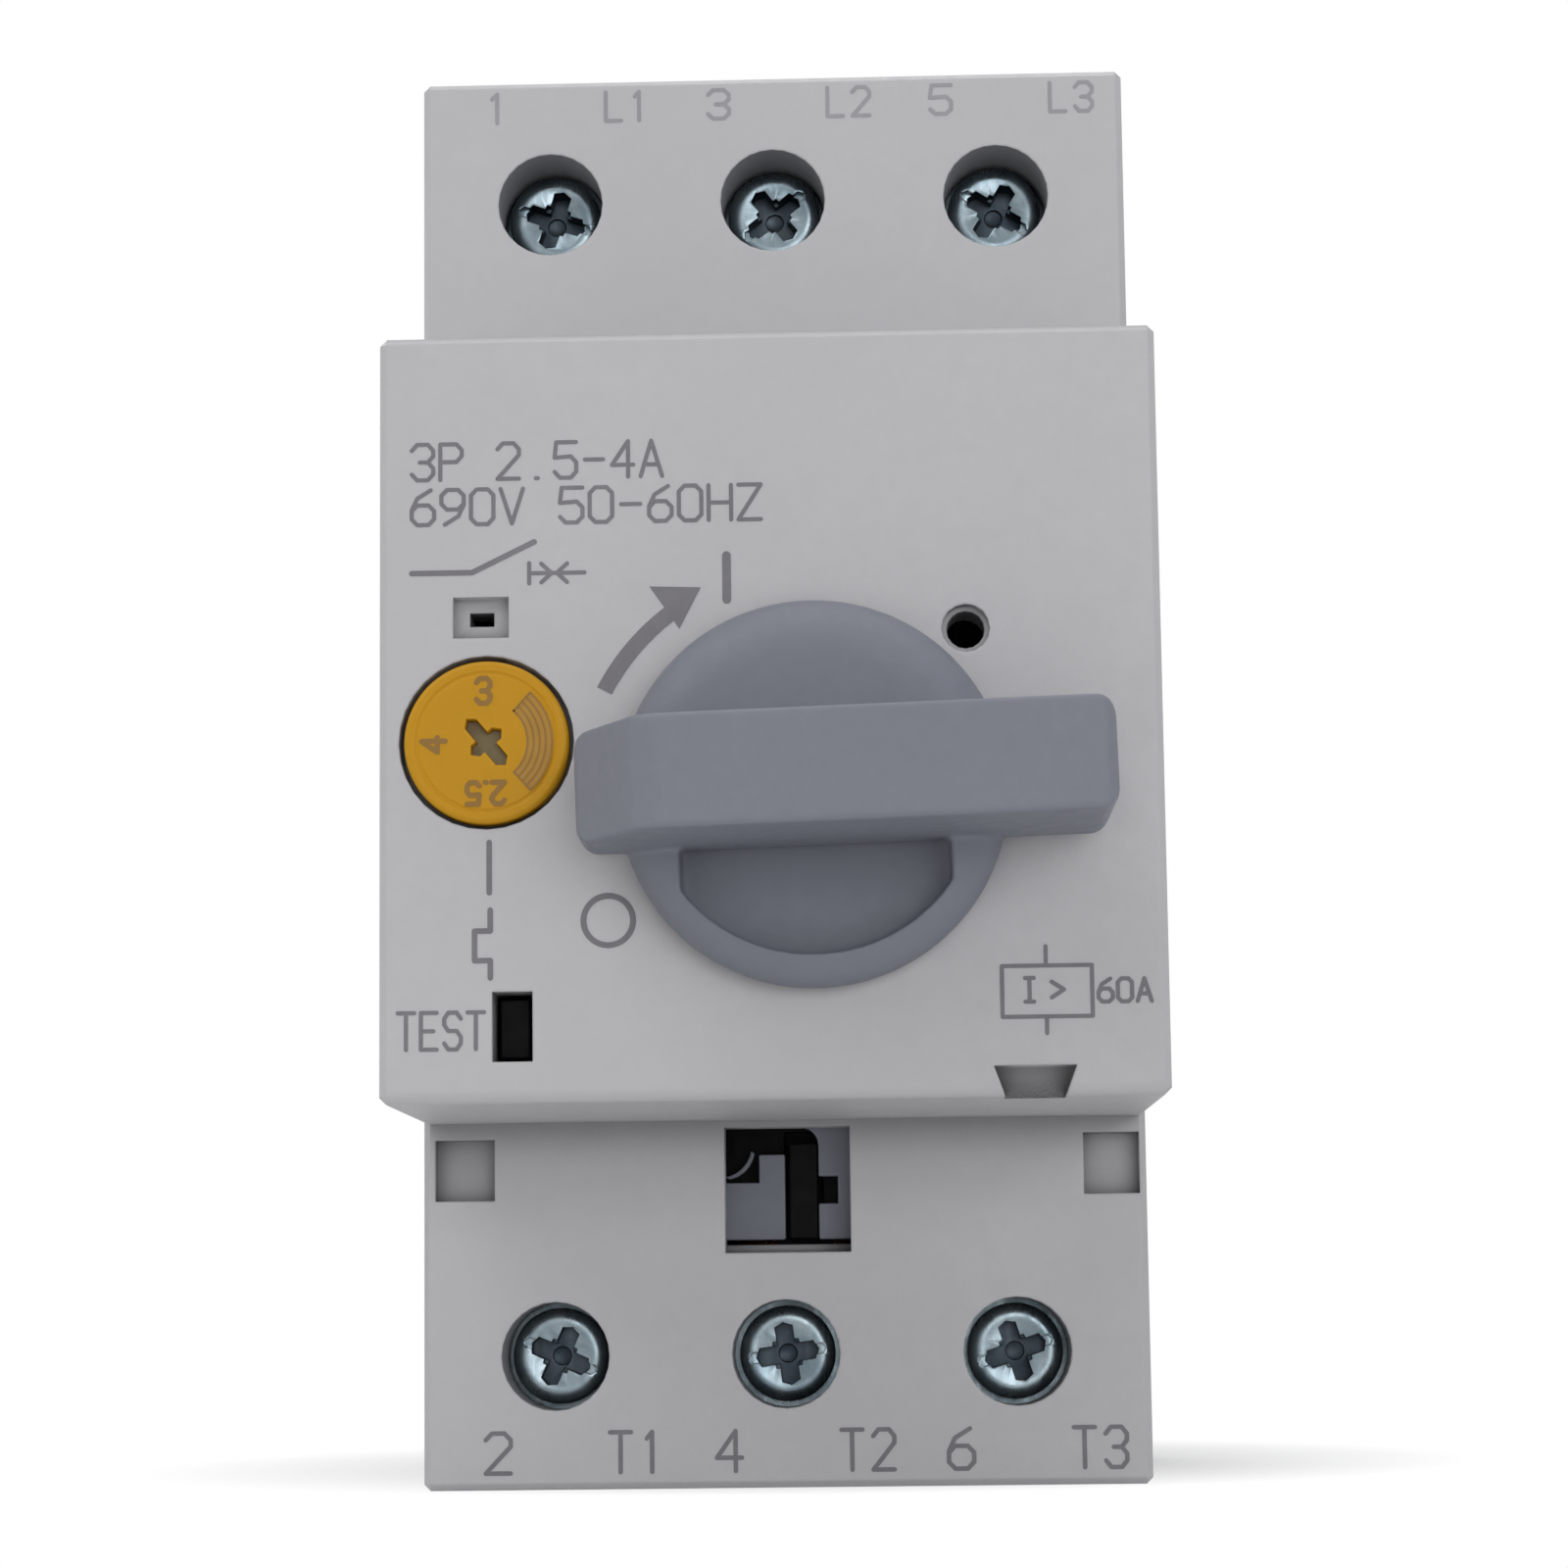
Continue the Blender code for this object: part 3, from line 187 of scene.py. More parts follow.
def rgba(colour, scale=1.0):
    return (*[min(1.0, c * scale) for c in linear(colour)], 1.0)


# Distances in the materials, in metres.
WEAR_REACH = 0.00035
# How far the occlusion looks when it paints shade into recesses.
SHADE_REACH = 0.003
FLOW_DEPTH = 0.0004
GRAIN_DEPTH = 0.00002
SCRATCH_DEPTH = 0.00003
SOFT_EDGE = 0.00025


def edge_mask(tree):
    """White where the surface turns within WEAR_REACH: the corners that rub."""
    rounded = tree.add("ShaderNodeBevel", {"Radius": WEAR_REACH}, samples=4).outputs["Normal"]
    flat = tree.add("ShaderNodeNewGeometry").outputs["Normal"]
    turn = tree.add("ShaderNodeVectorMath", {0: rounded, 1: flat}, operation="DOT_PRODUCT").outputs["Value"]
    return tree.spread(turn, 1.0, 0.0, 0.80, 0.995)


def moulded(
    name,
    colour,
    rough,
    grain=0.5,
    edge=1.06,
    mottle=0.05,
    grain_scale=5200.0,
    grime=1.0,
    gloss=0.5,
    rounding=0.0,
):
    """Moulded thermoplastic: fine eroded grain, faint flow mottling, polished edges.

    A shade factor under 1 paints shade into the recesses that the occlusion node finds. A rounding bends the
    light over edges that are sharp in the mesh.
    """
    tree = Tree(name)
    broad = tree.noise(70.0, 2.0)
    fine = tree.noise(1100.0, 4.0, 0.6)
    shade = tree.mix(tree.spread(broad, 0.0, 1.0), rgba(colour, 1 - mottle), rgba(colour, 1 + mottle))
    speck = tree.mix(tree.spread(fine, 0.0, 0.5), shade, rgba(colour, 1 - 1.6 * mottle))
    worn = edge_mask(tree)
    broken = tree.add("ShaderNodeMath", {0: worn, 1: tree.spread(fine, 0.25, 1.0)}, operation="MULTIPLY")
    surface = tree.mix(broken.outputs[0], speck, rgba(colour, edge))
    # Painted shade: where the occlusion node finds close surfaces, the colour falls towards itself times the
    # shade factor.
    if grime < 1.0:
        around = tree.add("ShaderNodeAmbientOcclusion", {"Distance": SHADE_REACH}, samples=8, only_local=True)
        recess = tree.spread(around.outputs["AO"], 1.0, 0.0, 0.15, 0.95)
        surface = tree.mix(recess, surface, rgba(colour, grime))
    tree.set(Base_Color=surface)
    tree.set(Specular_IOR_Level=gloss)
    tree.set(Roughness=tree.spread(fine, rough - 0.06, rough + 0.07))
    grainy = tree.noise(grain_scale, 2.0, 0.5)
    sink = tree.noise(45.0, 1.0)
    over = None
    if rounding:
        over = tree.add("ShaderNodeBevel", {"Radius": rounding}, samples=6).outputs["Normal"]
    flow = tree.bump(sink, 0.12, FLOW_DEPTH, over)
    tree.set(Normal=tree.bump(grainy, grain, GRAIN_DEPTH, flow))
    return tree.material


def metal(name, colour, tint, rough, scratch_scale=(900.0, 900.0, 60.0)):
    """Plated or rolled metal: tinted passivation, drawn lines, dull spots."""
    tree = Tree(name)
    cloud = tree.noise(350.0, 3.0, 0.6, distortion=0.6)
    lines = tree.noise(1.0, 3.0, 0.65, tree.stretched(scratch_scale))
    spots = tree.noise(1600.0, 4.0, 0.7)
    base = tree.mix(tree.spread(cloud, 0.0, 1.0, 0.35, 0.65), rgba(colour), rgba(tint))
    dull = tree.spread(spots, 0.0, 0.25, 0.55, 0.75)
    tree.set(Base_Color=tree.mix(dull, base, rgba([c * 0.55 for c in colour])))
    tree.set(Metallic=1.0)
    tree.set(Roughness=tree.spread(lines, rough - 0.08, rough + 0.14))
    pits = tree.bump(spots, 0.2, SCRATCH_DEPTH)
    tree.set(Normal=tree.bump(lines, 0.25, SCRATCH_DEPTH, pits))
    return tree.material


def shell(name, colour, **settings):
    """Moulding whose mesh edges are sharp: the material rounds them."""
    return moulded(name, colour, rounding=SOFT_EDGE, **settings)


def ink(name, colour, rough=0.6, grain=0.5, mottle=0.12):
    return moulded(name, colour, rough, grain, edge=1.0, mottle=mottle, grain_scale=3000.0)


# Painted shade: a darker grey for the screw wells' walls, which also paints shade into its own recesses.
WELL_PAINTED_SHADE = shell("well_painted_shade", (140, 140, 143), rough=0.6, edge=1.0, mottle=0.03, grime=0.1)
MATERIALS = {
    # The housing grey paints shade into its recesses.
    "housing_grey": shell("housing_grey_moulding", (181, 180, 183), rough=0.52, mottle=0.025, grime=0.2),
    "handle_grey": moulded(
        "handle_grey_moulding", (118, 121, 131), rough=0.56, grain=0.35, edge=1.12, mottle=0.035, gloss=0.35
    ),
    "dial_yellow": moulded(
        "dial_yellow_moulding", (190, 138, 10), rough=0.42, grain=0.25, edge=1.12, gloss=0.25
    ),
    "black_plastic": moulded(
        "black_moulding", (8, 8, 10), rough=0.6, grain=0.4, edge=1.5, mottle=0.1, gloss=0.1
    ),
    "zinc_steel": metal("blue_zinc_plate", (136, 148, 154), (102, 116, 124), rough=0.27),
    "spring_steel": metal("spring_wire", (150, 152, 156), (128, 130, 138), 0.3, (60.0, 60.0, 2000.0)),
    "copper": metal("copper_strip", (214, 150, 118), (188, 118, 84), 0.34, (1500.0, 1500.0, 80.0)),
    "bimetal": metal("bimetal_strip", (184, 174, 156), (160, 148, 128), rough=0.36),
    "fibre": moulded(
        "vulcanised_fibre", (120, 96, 72), rough=0.8, grain=0.8, edge=1.1, mottle=0.12, grain_scale=1800.0
    ),
}
INK = ink("ink_grey", (112, 110, 114))
INK_FAINT = ink("ink_faint", (150, 148, 152), mottle=0.08)
INK_DARK = ink("ink_dark", (136, 98, 24), rough=0.5, grain=0.4)
# Painted shade: a darker, rougher zinc for the screws' recesses.
PAINTED_SHADE_ZINC = metal("zinc_painted_shade", (68, 76, 82), (50, 58, 66), rough=0.45)
DIAL_SHADE = ink("dial_shade", (164, 118, 18), rough=0.42, grain=0.4, mottle=0.1)
# Painted shade: a grey-brown floor for the dial's slots, darker than the dial.
SLOT_PAINTED_SHADE = ink("slot_painted_shade", (112, 98, 60), rough=0.5, grain=0.4)


# ---------------------------------------------------------------- mesh helpers, in mm


def to_mesh(bm, name):
    mesh = bpy.data.meshes.new(name)
    bmesh.ops.transform(bm, matrix=Matrix.Scale(MM, 4), verts=bm.verts)
    bm.to_mesh(mesh)
    bm.free()
    return mesh


def block(low, high):
    bm = bmesh.new()
    middle = [(a + b) / 2 for a, b in zip(low, high)]
    size = [b - a for a, b in zip(low, high)]
    bmesh.ops.create_cube(bm, size=1, matrix=Matrix.Translation(middle) @ Matrix.Diagonal((*size, 1)))
    return to_mesh(bm, "block")


def prism(axis, outline, low, high):
    """A closed outline pulled along an axis. Points hold the two other coordinates in order."""
    at = "XYZ".index(axis)

    def corner(point, depth):
        spot = list(point)
        spot.insert(at, depth)
        return spot

    bm = bmesh.new()
    first = [bm.verts.new(corner(p, low)) for p in outline]
    second = [bm.verts.new(corner(p, high)) for p in outline]
    bm.faces.new(first)
    bm.faces.new(list(reversed(second)))
    for i, a in enumerate(first):
        j = (i + 1) % len(first)
        bm.faces.new((a, second[i], second[j], first[j]))
    bmesh.ops.recalc_face_normals(bm, faces=bm.faces)
    return to_mesh(bm, "prism")


def turned(centre, profile, sides):
    """A profile of (radius, y) turned about the Y axis through a centre (x, z)."""
    bm = bmesh.new()
    rings = []
    steps = [2 * math.pi * i / sides for i in range(sides)]
    for radius, y in profile:
        angles = steps if radius else [0.0]
        spots = [(centre[0] + radius * math.cos(a), y, centre[1] + radius * math.sin(a)) for a in angles]
        rings.append([bm.verts.new(spot) for spot in spots])
    for a, b in zip(rings, rings[1:]):
        for i in range(sides):
            j = (i + 1) % sides
            ring = [a[i % len(a)], a[j % len(a)], b[j % len(b)], b[i % len(b)]]
            bm.faces.new(list(dict.fromkeys(ring)))
    for ring in (rings[0], rings[-1]):
        if len(ring) > 1:
            bm.faces.new(ring)
    bmesh.ops.recalc_face_normals(bm, faces=bm.faces)
    return to_mesh(bm, "turned")


def arc(centre, radius, start, end, steps):
    """Points round an arc, angles in degrees."""
    return [
        (
            centre[0] + radius * math.cos(math.radians(start + (end - start) * i / steps)),
            centre[1] + radius * math.sin(math.radians(start + (end - start) * i / steps)),
        )
        for i in range(steps + 1)
    ]


def new_object(name, mesh, material=None):
    obj = bpy.data.objects.new(name, mesh)
    bpy.context.scene.collection.objects.link(obj)
    if material:
        mesh.materials.clear()
        mesh.materials.append(material)
    return obj


def boolean(target, mesh, operation="DIFFERENCE"):
    tool = new_object("tool", mesh)
    modifier = target.modifiers.new("boolean", "BOOLEAN")
    modifier.operation = operation
    modifier.solver = "EXACT"
    modifier.object = tool
    applied(target)
    bpy.data.objects.remove(tool)


def applied(obj):
    """Bakes an object's modifiers into its mesh."""
    bpy.context.view_layer.update()
    graph = bpy.context.evaluated_depsgraph_get()
    mesh = bpy.data.meshes.new_from_object(obj.evaluated_get(graph))
    obj.modifiers.clear()
    old = obj.data
    obj.data = mesh
    bpy.data.meshes.remove(old)


FLAT_AREA = 6e-6  # square metres
SHARP_ANGLE = math.radians(32)
ROUNDED_ANGLE = math.radians(30)


def shade(obj):
    """Smooth shading, with the sharp edges and the large faces kept flat."""
    for polygon in obj.data.polygons:
        polygon.use_smooth = polygon.area < FLAT_AREA
    obj.data.set_sharp_from_angle(angle=SHARP_ANGLE)


def round_edges(obj, width):
    """Rounds the outside edges. Inside corners stay as they are, so that no material grows into a gap."""
    bm = bmesh.new()
    bm.from_mesh(obj.data)
    weight = bm.edges.layers.float.new("bevel_weight_edge")
    for edge in bm.edges:
        if len(edge.link_faces) == 2 and edge.calc_face_angle_signed() > ROUNDED_ANGLE:
            edge[weight] = 1.0
    bm.to_mesh(obj.data)
    bm.free()
    modifier = obj.modifiers.new("edges", "BEVEL")
    modifier.width = width * MM
    modifier.segments = 2
    modifier.limit_method = "WEIGHT"
    modifier.use_clamp_overlap = False
    modifier.miter_outer = "MITER_ARC"
    applied(obj)


def place(obj, body):
    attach(obj, body)


# ---------------------------------------------------------------- carried-over CAD nodes

for node, obj in frame["nodes"].items():
    obj.data.materials.clear()
    obj.data.materials.append(MATERIALS[SLOT_OF[node]])

# ---------------------------------------------------------------- copies of CAD nodes

SAME_POINT = 2e-6  # metres
SAME_BEVEL_POINT = 8e-6
ONE_PLANE = math.radians(0.4)


def cleaned(obj, near):
    """Merges points that are nearly one, and faces that lie in one plane."""
    bm = bmesh.new()
    bm.from_mesh(obj.data)
    bmesh.ops.remove_doubles(bm, verts=bm.verts, dist=near)
    bmesh.ops.dissolve_degenerate(bm, edges=bm.edges, dist=near)
    bmesh.ops.dissolve_limit(bm, angle_limit=ONE_PLANE, verts=bm.verts, edges=bm.edges)
    bm.to_mesh(obj.data)
    bm.free()


def soften(obj, width):
    """Clean faces, rounded edges, and shading that leaves the flats flat. Width 0 leaves the edges sharp."""
    cleaned(obj, SAME_POINT)
    if width:
        round_edges(obj, width)
        cleaned(obj, SAME_BEVEL_POINT)
    shade(obj)
    modifier = obj.modifiers.new("normals", "WEIGHTED_NORMAL")
    modifier.keep_sharp = True
    modifier.weight = 80
    applied(obj)


def cad_copy(node, name):
    mesh = frame["nodes"][node].data.copy()
    mesh.name = name
    return new_object(name, mesh, MATERIALS[SLOT_OF[node]])


def stand_in(obj, node):
    place(obj, BODY_OF[node])
    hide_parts(node)


# ---------------------------------------------------------------- front cover

PLATE_ROUNDING = 0.75
DECK_CHAMFER = 0.4
POCKET_FOOT, POCKET_TOP = -27.6, -22.9
POCKET_CAD_FLOOR = DECK + 3.3
POCKET_FLOOR = DECK + 1.1
SKIN_LEFT, SKIN_RIGHT = 0.75, 0.45


def foot_edge_cutter(radius):
    """What rounding the lower front edge takes off: a square corner less a quarter circle."""
    y, z = PLATE + radius, radius - HALF_PLATE
    rim = arc((y, z), radius, 180, 270, 8)
    outline = [*rim, (y, -HALF_PLATE - 1), (PLATE - 1, -HALF_PLATE - 1), (PLATE - 1, z)]
    return prism("X", outline, COVER_LOW.x - 1, COVER_HIGH.x + 1)


def front_cover():
    """The cover with a rounded foot edge, shallower side pockets and screw wells whose walls are darkened as
    painted shade.
    """
    cover = cad_copy("front_cover", "cover_moulding")
    left, right = COVER_LOW.x, COVER_HIGH.x
    boolean(cover, foot_edge_cutter(PLATE_ROUNDING))
    for side, thick in ((-1, SKIN_LEFT), (1, SKIN_RIGHT)):
        inner = right - thick
        skin = [
            (inner, DECK),
            (right - DECK_CHAMFER, DECK),
            (right, DECK + DECK_CHAMFER),
            (right, POCKET_CAD_FLOOR),
            (inner, POCKET_CAD_FLOOR),
        ]
        boolean(cover, prism("Z", [(side * x, y) for x, y in skin], POCKET_FOOT, POCKET_TOP), "UNION")
    for start, end in ((left + 0.74, left + 4.6), (right - 4.11, right - 0.4)):
        infill = block((start, POCKET_FLOOR, POCKET_FOOT), (end, POCKET_CAD_FLOOR, POCKET_TOP))
        boolean(cover, infill, "UNION")
    soften(cover, 0)
    cover.data.materials.append(WELL_PAINTED_SHADE)
    heads = [box_mm(f"{end}_screw_{pole}") for end in ("line", "load") for pole in POLES]
    wells = [(low + high) / 2 for low, high in heads]
    # Painted shade: the wells' walls take the darker grey.
    for polygon in cover.data.polygons:
        x, y, z = polygon.center / MM
        nearest = min(math.hypot(x - well.x, z - well.z) for well in wells)
        if y > DECK + 0.25 and nearest < HEAD_RADIUS + 0.5:
            polygon.material_index = 1
    stand_in(cover, "front_cover")


# ---------------------------------------------------------------- rotary handle

GRIP_FRONT = HANDLE_LOW.y
KNOB_FRONT = PLATE - 4.0
GRIP_RIGHT = HANDLE_HIGH.x - AXIS_X
GRIP_LEFT = AXIS_X - HANDLE_LOW.x
KNOB_RADIUS = AXIS_Z - HANDLE_LOW.z
GRIP_HALF = 3.15
GRIP_BACK = PLATE - 2.0
SHOULDER_WIDTH, SHOULDER_DEPTH = 3.2, 2.7
DISH_FLOOR = KNOB_FRONT + 2.6
DISH_RADIUS, DISH_HALF, DISH_TOP = 9.4, 7.6, -2.0
HANDLE_TILT = math.radians(-1.6)
VOXEL = 0.17


def about_axis(points):
    """Points given from the handle's axis."""
    return [(AXIS_X + x, AXIS_Z + z) for x, z in points]


def rotary_handle():
    """Knob, grip and finger dish, remeshed and smoothed so that they run into each other as moulded."""
    centre = (AXIS_X, AXIS_Z)
    flat = KNOB_RADIUS - SHOULDER_WIDTH
    shoulder = [
        (flat + SHOULDER_WIDTH * x, KNOB_FRONT + SHOULDER_DEPTH - SHOULDER_DEPTH * y)
        for x, y in arc((0, 0), 1, 0, 90, 10)
    ]
    back = [(0, PLATE - 0.3), (KNOB_RADIUS - 0.5, PLATE - 0.3), (KNOB_RADIUS, PLATE - 0.6)]
    handle = new_object("handle_knob", turned(centre, [*back, *shoulder, (0, KNOB_FRONT)], 128))
    start = math.degrees(math.acos(DISH_HALF / DISH_RADIUS))
    dish = arc((0, 0), DISH_RADIUS, -start, start - 180, 28) + [(-DISH_HALF, DISH_TOP), (DISH_HALF, DISH_TOP)]
    boolean(handle, prism("Y", about_axis(dish), KNOB_FRONT - 1, DISH_FLOOR))
    right, left = GRIP_RIGHT, -GRIP_LEFT
    side = [
        (right - 0.5, GRIP_BACK),
        (right, GRIP_BACK - 0.5),
        (right, GRIP_FRONT + 0.6),
        (right - 0.6, GRIP_FRONT),
        (-8.4, GRIP_FRONT),
        (-9.6, GRIP_FRONT + 0.5),
        (left + 0.2, GRIP_FRONT + 5.2),
        (left, GRIP_FRONT + 6.0),
        (left, GRIP_BACK - 0.4),
        (left + 0.4, GRIP_BACK),
    ]
    side = [(AXIS_X + x, y) for x, y in side]
    bar = new_object("handle_grip", prism("Z", side, AXIS_Z - GRIP_HALF, AXIS_Z + GRIP_HALF))
    plan = [
        *arc((right - 1.1, GRIP_HALF - 1.1), 1.1, 90, 0, 6),
        *arc((right - 1.1, 1.1 - GRIP_HALF), 1.1, 0, -90, 6),
        *arc((left + 1.0, 1.0 - GRIP_HALF), 1.0, -90, -180, 6),
        *arc((left + 1.0, GRIP_HALF - 1.0), 1.0, 180, 90, 6),
    ]
    boolean(bar, prism("Y", about_axis(plan), GRIP_FRONT - 1, PLATE), "INTERSECT")
    boolean(handle, bar.data.copy(), "UNION")
    bpy.data.objects.remove(bar)
    shaft_end = [(-2.0, -1.4), (2.0, -1.4), (2.0, 1.4), (-2.0, 1.4)]
    boolean(handle, prism("Y", about_axis(shaft_end), GRIP_BACK - 1.2, PLATE))
    voxels = handle.modifiers.new("voxels", "REMESH")
    voxels.mode = "VOXEL"
    voxels.voxel_size = VOXEL * MM
    voxels.use_smooth_shade = True
    melt = handle.modifiers.new("melt", "SMOOTH")
    melt.factor = 0.5
    melt.iterations = 7
    applied(handle)
    handle.data.materials.clear()
    handle.data.materials.append(MATERIALS["handle_grey"])
    pivot = Vector((AXIS_X, 0, AXIS_Z)) * MM
    tilt = Matrix.Translation(pivot) @ Matrix.Rotation(HANDLE_TILT, 4, "Y") @ Matrix.Translation(-pivot)
    handle.data.transform(tilt)
    for polygon in handle.data.polygons:
        polygon.use_smooth = True
    stand_in(handle, "rotary_handle")


# ---------------------------------------------------------------- setting dial

DIAL_FRONT = DIAL_LOW.y
DIAL_SLOTS = ((1.75, 0.42, -50.0), (1.15, 0.40, 40.0))  # half length, half width, turn
DIAL_EDGE = 0.32


def turned_points(points, degrees, centre):
    """Points about the origin, turned and then moved to a centre."""
    c, s = math.cos(math.radians(degrees)), math.sin(math.radians(degrees))
    return [(centre[0] + x * c - z * s, centre[1] + x * s + z * c) for x, z in points]


def bar_outline(half_length, half_width, nose=0.35):
    """A bar with pointed ends, as a screwdriver's slot is moulded."""
    a, b = half_length, half_width
    return [(-a, 0), (-a + nose, -b), (a - nose, -b), (a, 0), (a - nose, b), (-a + nose, b)]


def dial_slots(play):
    """The outlines of the dial's two slots, smaller by the play on every side."""
    return [
        turned_points(bar_outline(half_length - play, half_width - play), turn, (DIAL_X, DIAL_Z))
        for half_length, half_width, turn in DIAL_SLOTS
    ]


def setting_dial():
    """The disc on its shank, with a fine groove near the rim, a cross slot whose floor is painted shade, and a
    darker band.
    """
    centre = (DIAL_X, DIAL_Z)
    radius, back = DIAL_RADIUS, DIAL_FRONT + 1.6
    rim = arc((radius - DIAL_EDGE, -DIAL_FRONT - DIAL_EDGE), DIAL_EDGE, 20, 90, 4)
    profile = [
        (0, back + 12.0),
        (2.3, back + 12.0),
        (2.3, back),
        (radius - 0.2, back),
        (radius, back - 0.2),
        (radius, DIAL_FRONT + DIAL_EDGE),
        *[(x, -y) for x, y in rim],
        (radius - 0.62, DIAL_FRONT),
        (radius - 0.68, DIAL_FRONT + 0.07),
        (radius - 0.80, DIAL_FRONT + 0.07),
        (radius - 0.86, DIAL_FRONT),
        (0, DIAL_FRONT),
    ]
    dial = new_object("dial_disc", turned(centre, profile, 128), MATERIALS["dial_yellow"])
    for outline in dial_slots(0.0):
        boolean(dial, prism("Y", outline, DIAL_FRONT - 1, DIAL_FRONT + 0.9))
    soften(dial, 0.07)
    stand_in(dial, "setting_dial")

    long_slot, short_slot = dial_slots(0.03)
    # Painted shade: a grey-brown floor laid in the slots.
    base = new_object("dial_slot_floor", prism("Y", long_slot, DIAL_FRONT + 0.72, DIAL_FRONT + 0.95), SLOT_PAINTED_SHADE)
    boolean(base, prism("Y", short_slot, DIAL_FRONT + 0.71, DIAL_FRONT + 0.96), "UNION")
    shade(base)
    place(base, "dial")

    band = arc(centre, 3.85, -47, 47, 16) + arc(centre, 2.45, 47, -47, 16)
    scale = new_object("dial_band", prism("Y", band, DIAL_FRONT - 0.012, DIAL_FRONT + 0.03), DIAL_SHADE)
    place(scale, "dial")


# ---------------------------------------------------------------- terminal screws

# How far each head is turned, in degrees.
SCREW_TURNS = {
    "line_screw_l1": -18.0,
    "line_screw_l2": 38.0,
    "line_screw_l3": -32.0,
    "load_screw_l1": -24.0,
    "load_screw_l2": 8.0,
    "load_screw_l3": 18.0,
}


# The recess: half length, half width, depth and turn of each cut, in mm and degrees.
RECESS_CUTS = (
    (1.95, 0.56, 1.5, 0),
    (1.95, 0.56, 1.5, 90),
    (1.15, 0.32, 0.8, 45),
    (1.15, 0.32, 0.8, 135),
    (2.45, 0.30, 0.5, 0),
)
RECESS_REACH = 2.05
THREAD_PITCH = 0.8
THREAD_ROOT, THREAD_CREST = 1.62, 1.98


def terminal_screw(node):
    """A pan head with a rolled rim and a combined cross and slot recess, on a threaded shank."""
    low, high = box_mm(node)
    centre = ((low.x + high.x) / 2, (low.z + high.z) / 2)
    front, head_back, end, radius = low.y, low.y + 2.4, high.y, HEAD_RADIUS
    thread = []
    y = end - 0.5
    while y > head_back + THREAD_PITCH:
        thread += [(THREAD_ROOT, y), (THREAD_CREST, y - 0.3), (THREAD_CREST, y - 0.42), (THREAD_ROOT, y - 0.72)]
        y -= THREAD_PITCH
    profile = [
        (0, end),
        (1.3, end),
        (1.6, end - 0.4),
        *thread,
        (1.7, head_back),
        (radius - 0.25, head_back),
        (radius, head_back - 0.25),
        (radius, front + 0.62),
        (radius - 0.06, front + 0.38),
        (radius - 0.22, front + 0.18),
        (radius - 0.5, front + 0.06),
        (radius - 0.85, front),
        (radius - 1.0, front + 0.03),
        (0, front + 0.10),
    ]
    screw = new_object(node + "_turned", turned(centre, profile, 72), MATERIALS["zinc_steel"])
    for half_length, half_width, depth, turn in RECESS_CUTS:
        cut = bar_outline(half_length, half_width, 0.25)
        cut = turned_points(cut, SCREW_TURNS[node] + turn, centre)
        boolean(screw, prism("Y", cut, front - 1, front + depth))
    pit = [(0, -1), (0.95, -1), (0.8, 0.2), (0.55, 1.7), (0, 1.9)]
    boolean(screw, turned(centre, [(reach, front + depth) for reach, depth in pit], 24))
    soften(screw, 0.07)
    screw.data.materials.append(PAINTED_SHADE_ZINC)
    # Painted shade: the faces inside the recess take the darker zinc.
    for polygon in screw.data.polygons:
        x, y, z = polygon.center / MM
        reach = math.hypot(x - centre[0], z - centre[1])
        if reach < RECESS_REACH and front + 0.13 < y < front + 2.1:
            polygon.material_index = 1
    stand_in(screw, node)


# ---------------------------------------------------------------- lower window

NOSE_LEFT = 0.25
NOSE_RIGHT = 2.05
NOSE_PLAY = 0.3
BACKING_SHADE_PLAY = 0.05
NOSE_SHADE_REACH = 0.9


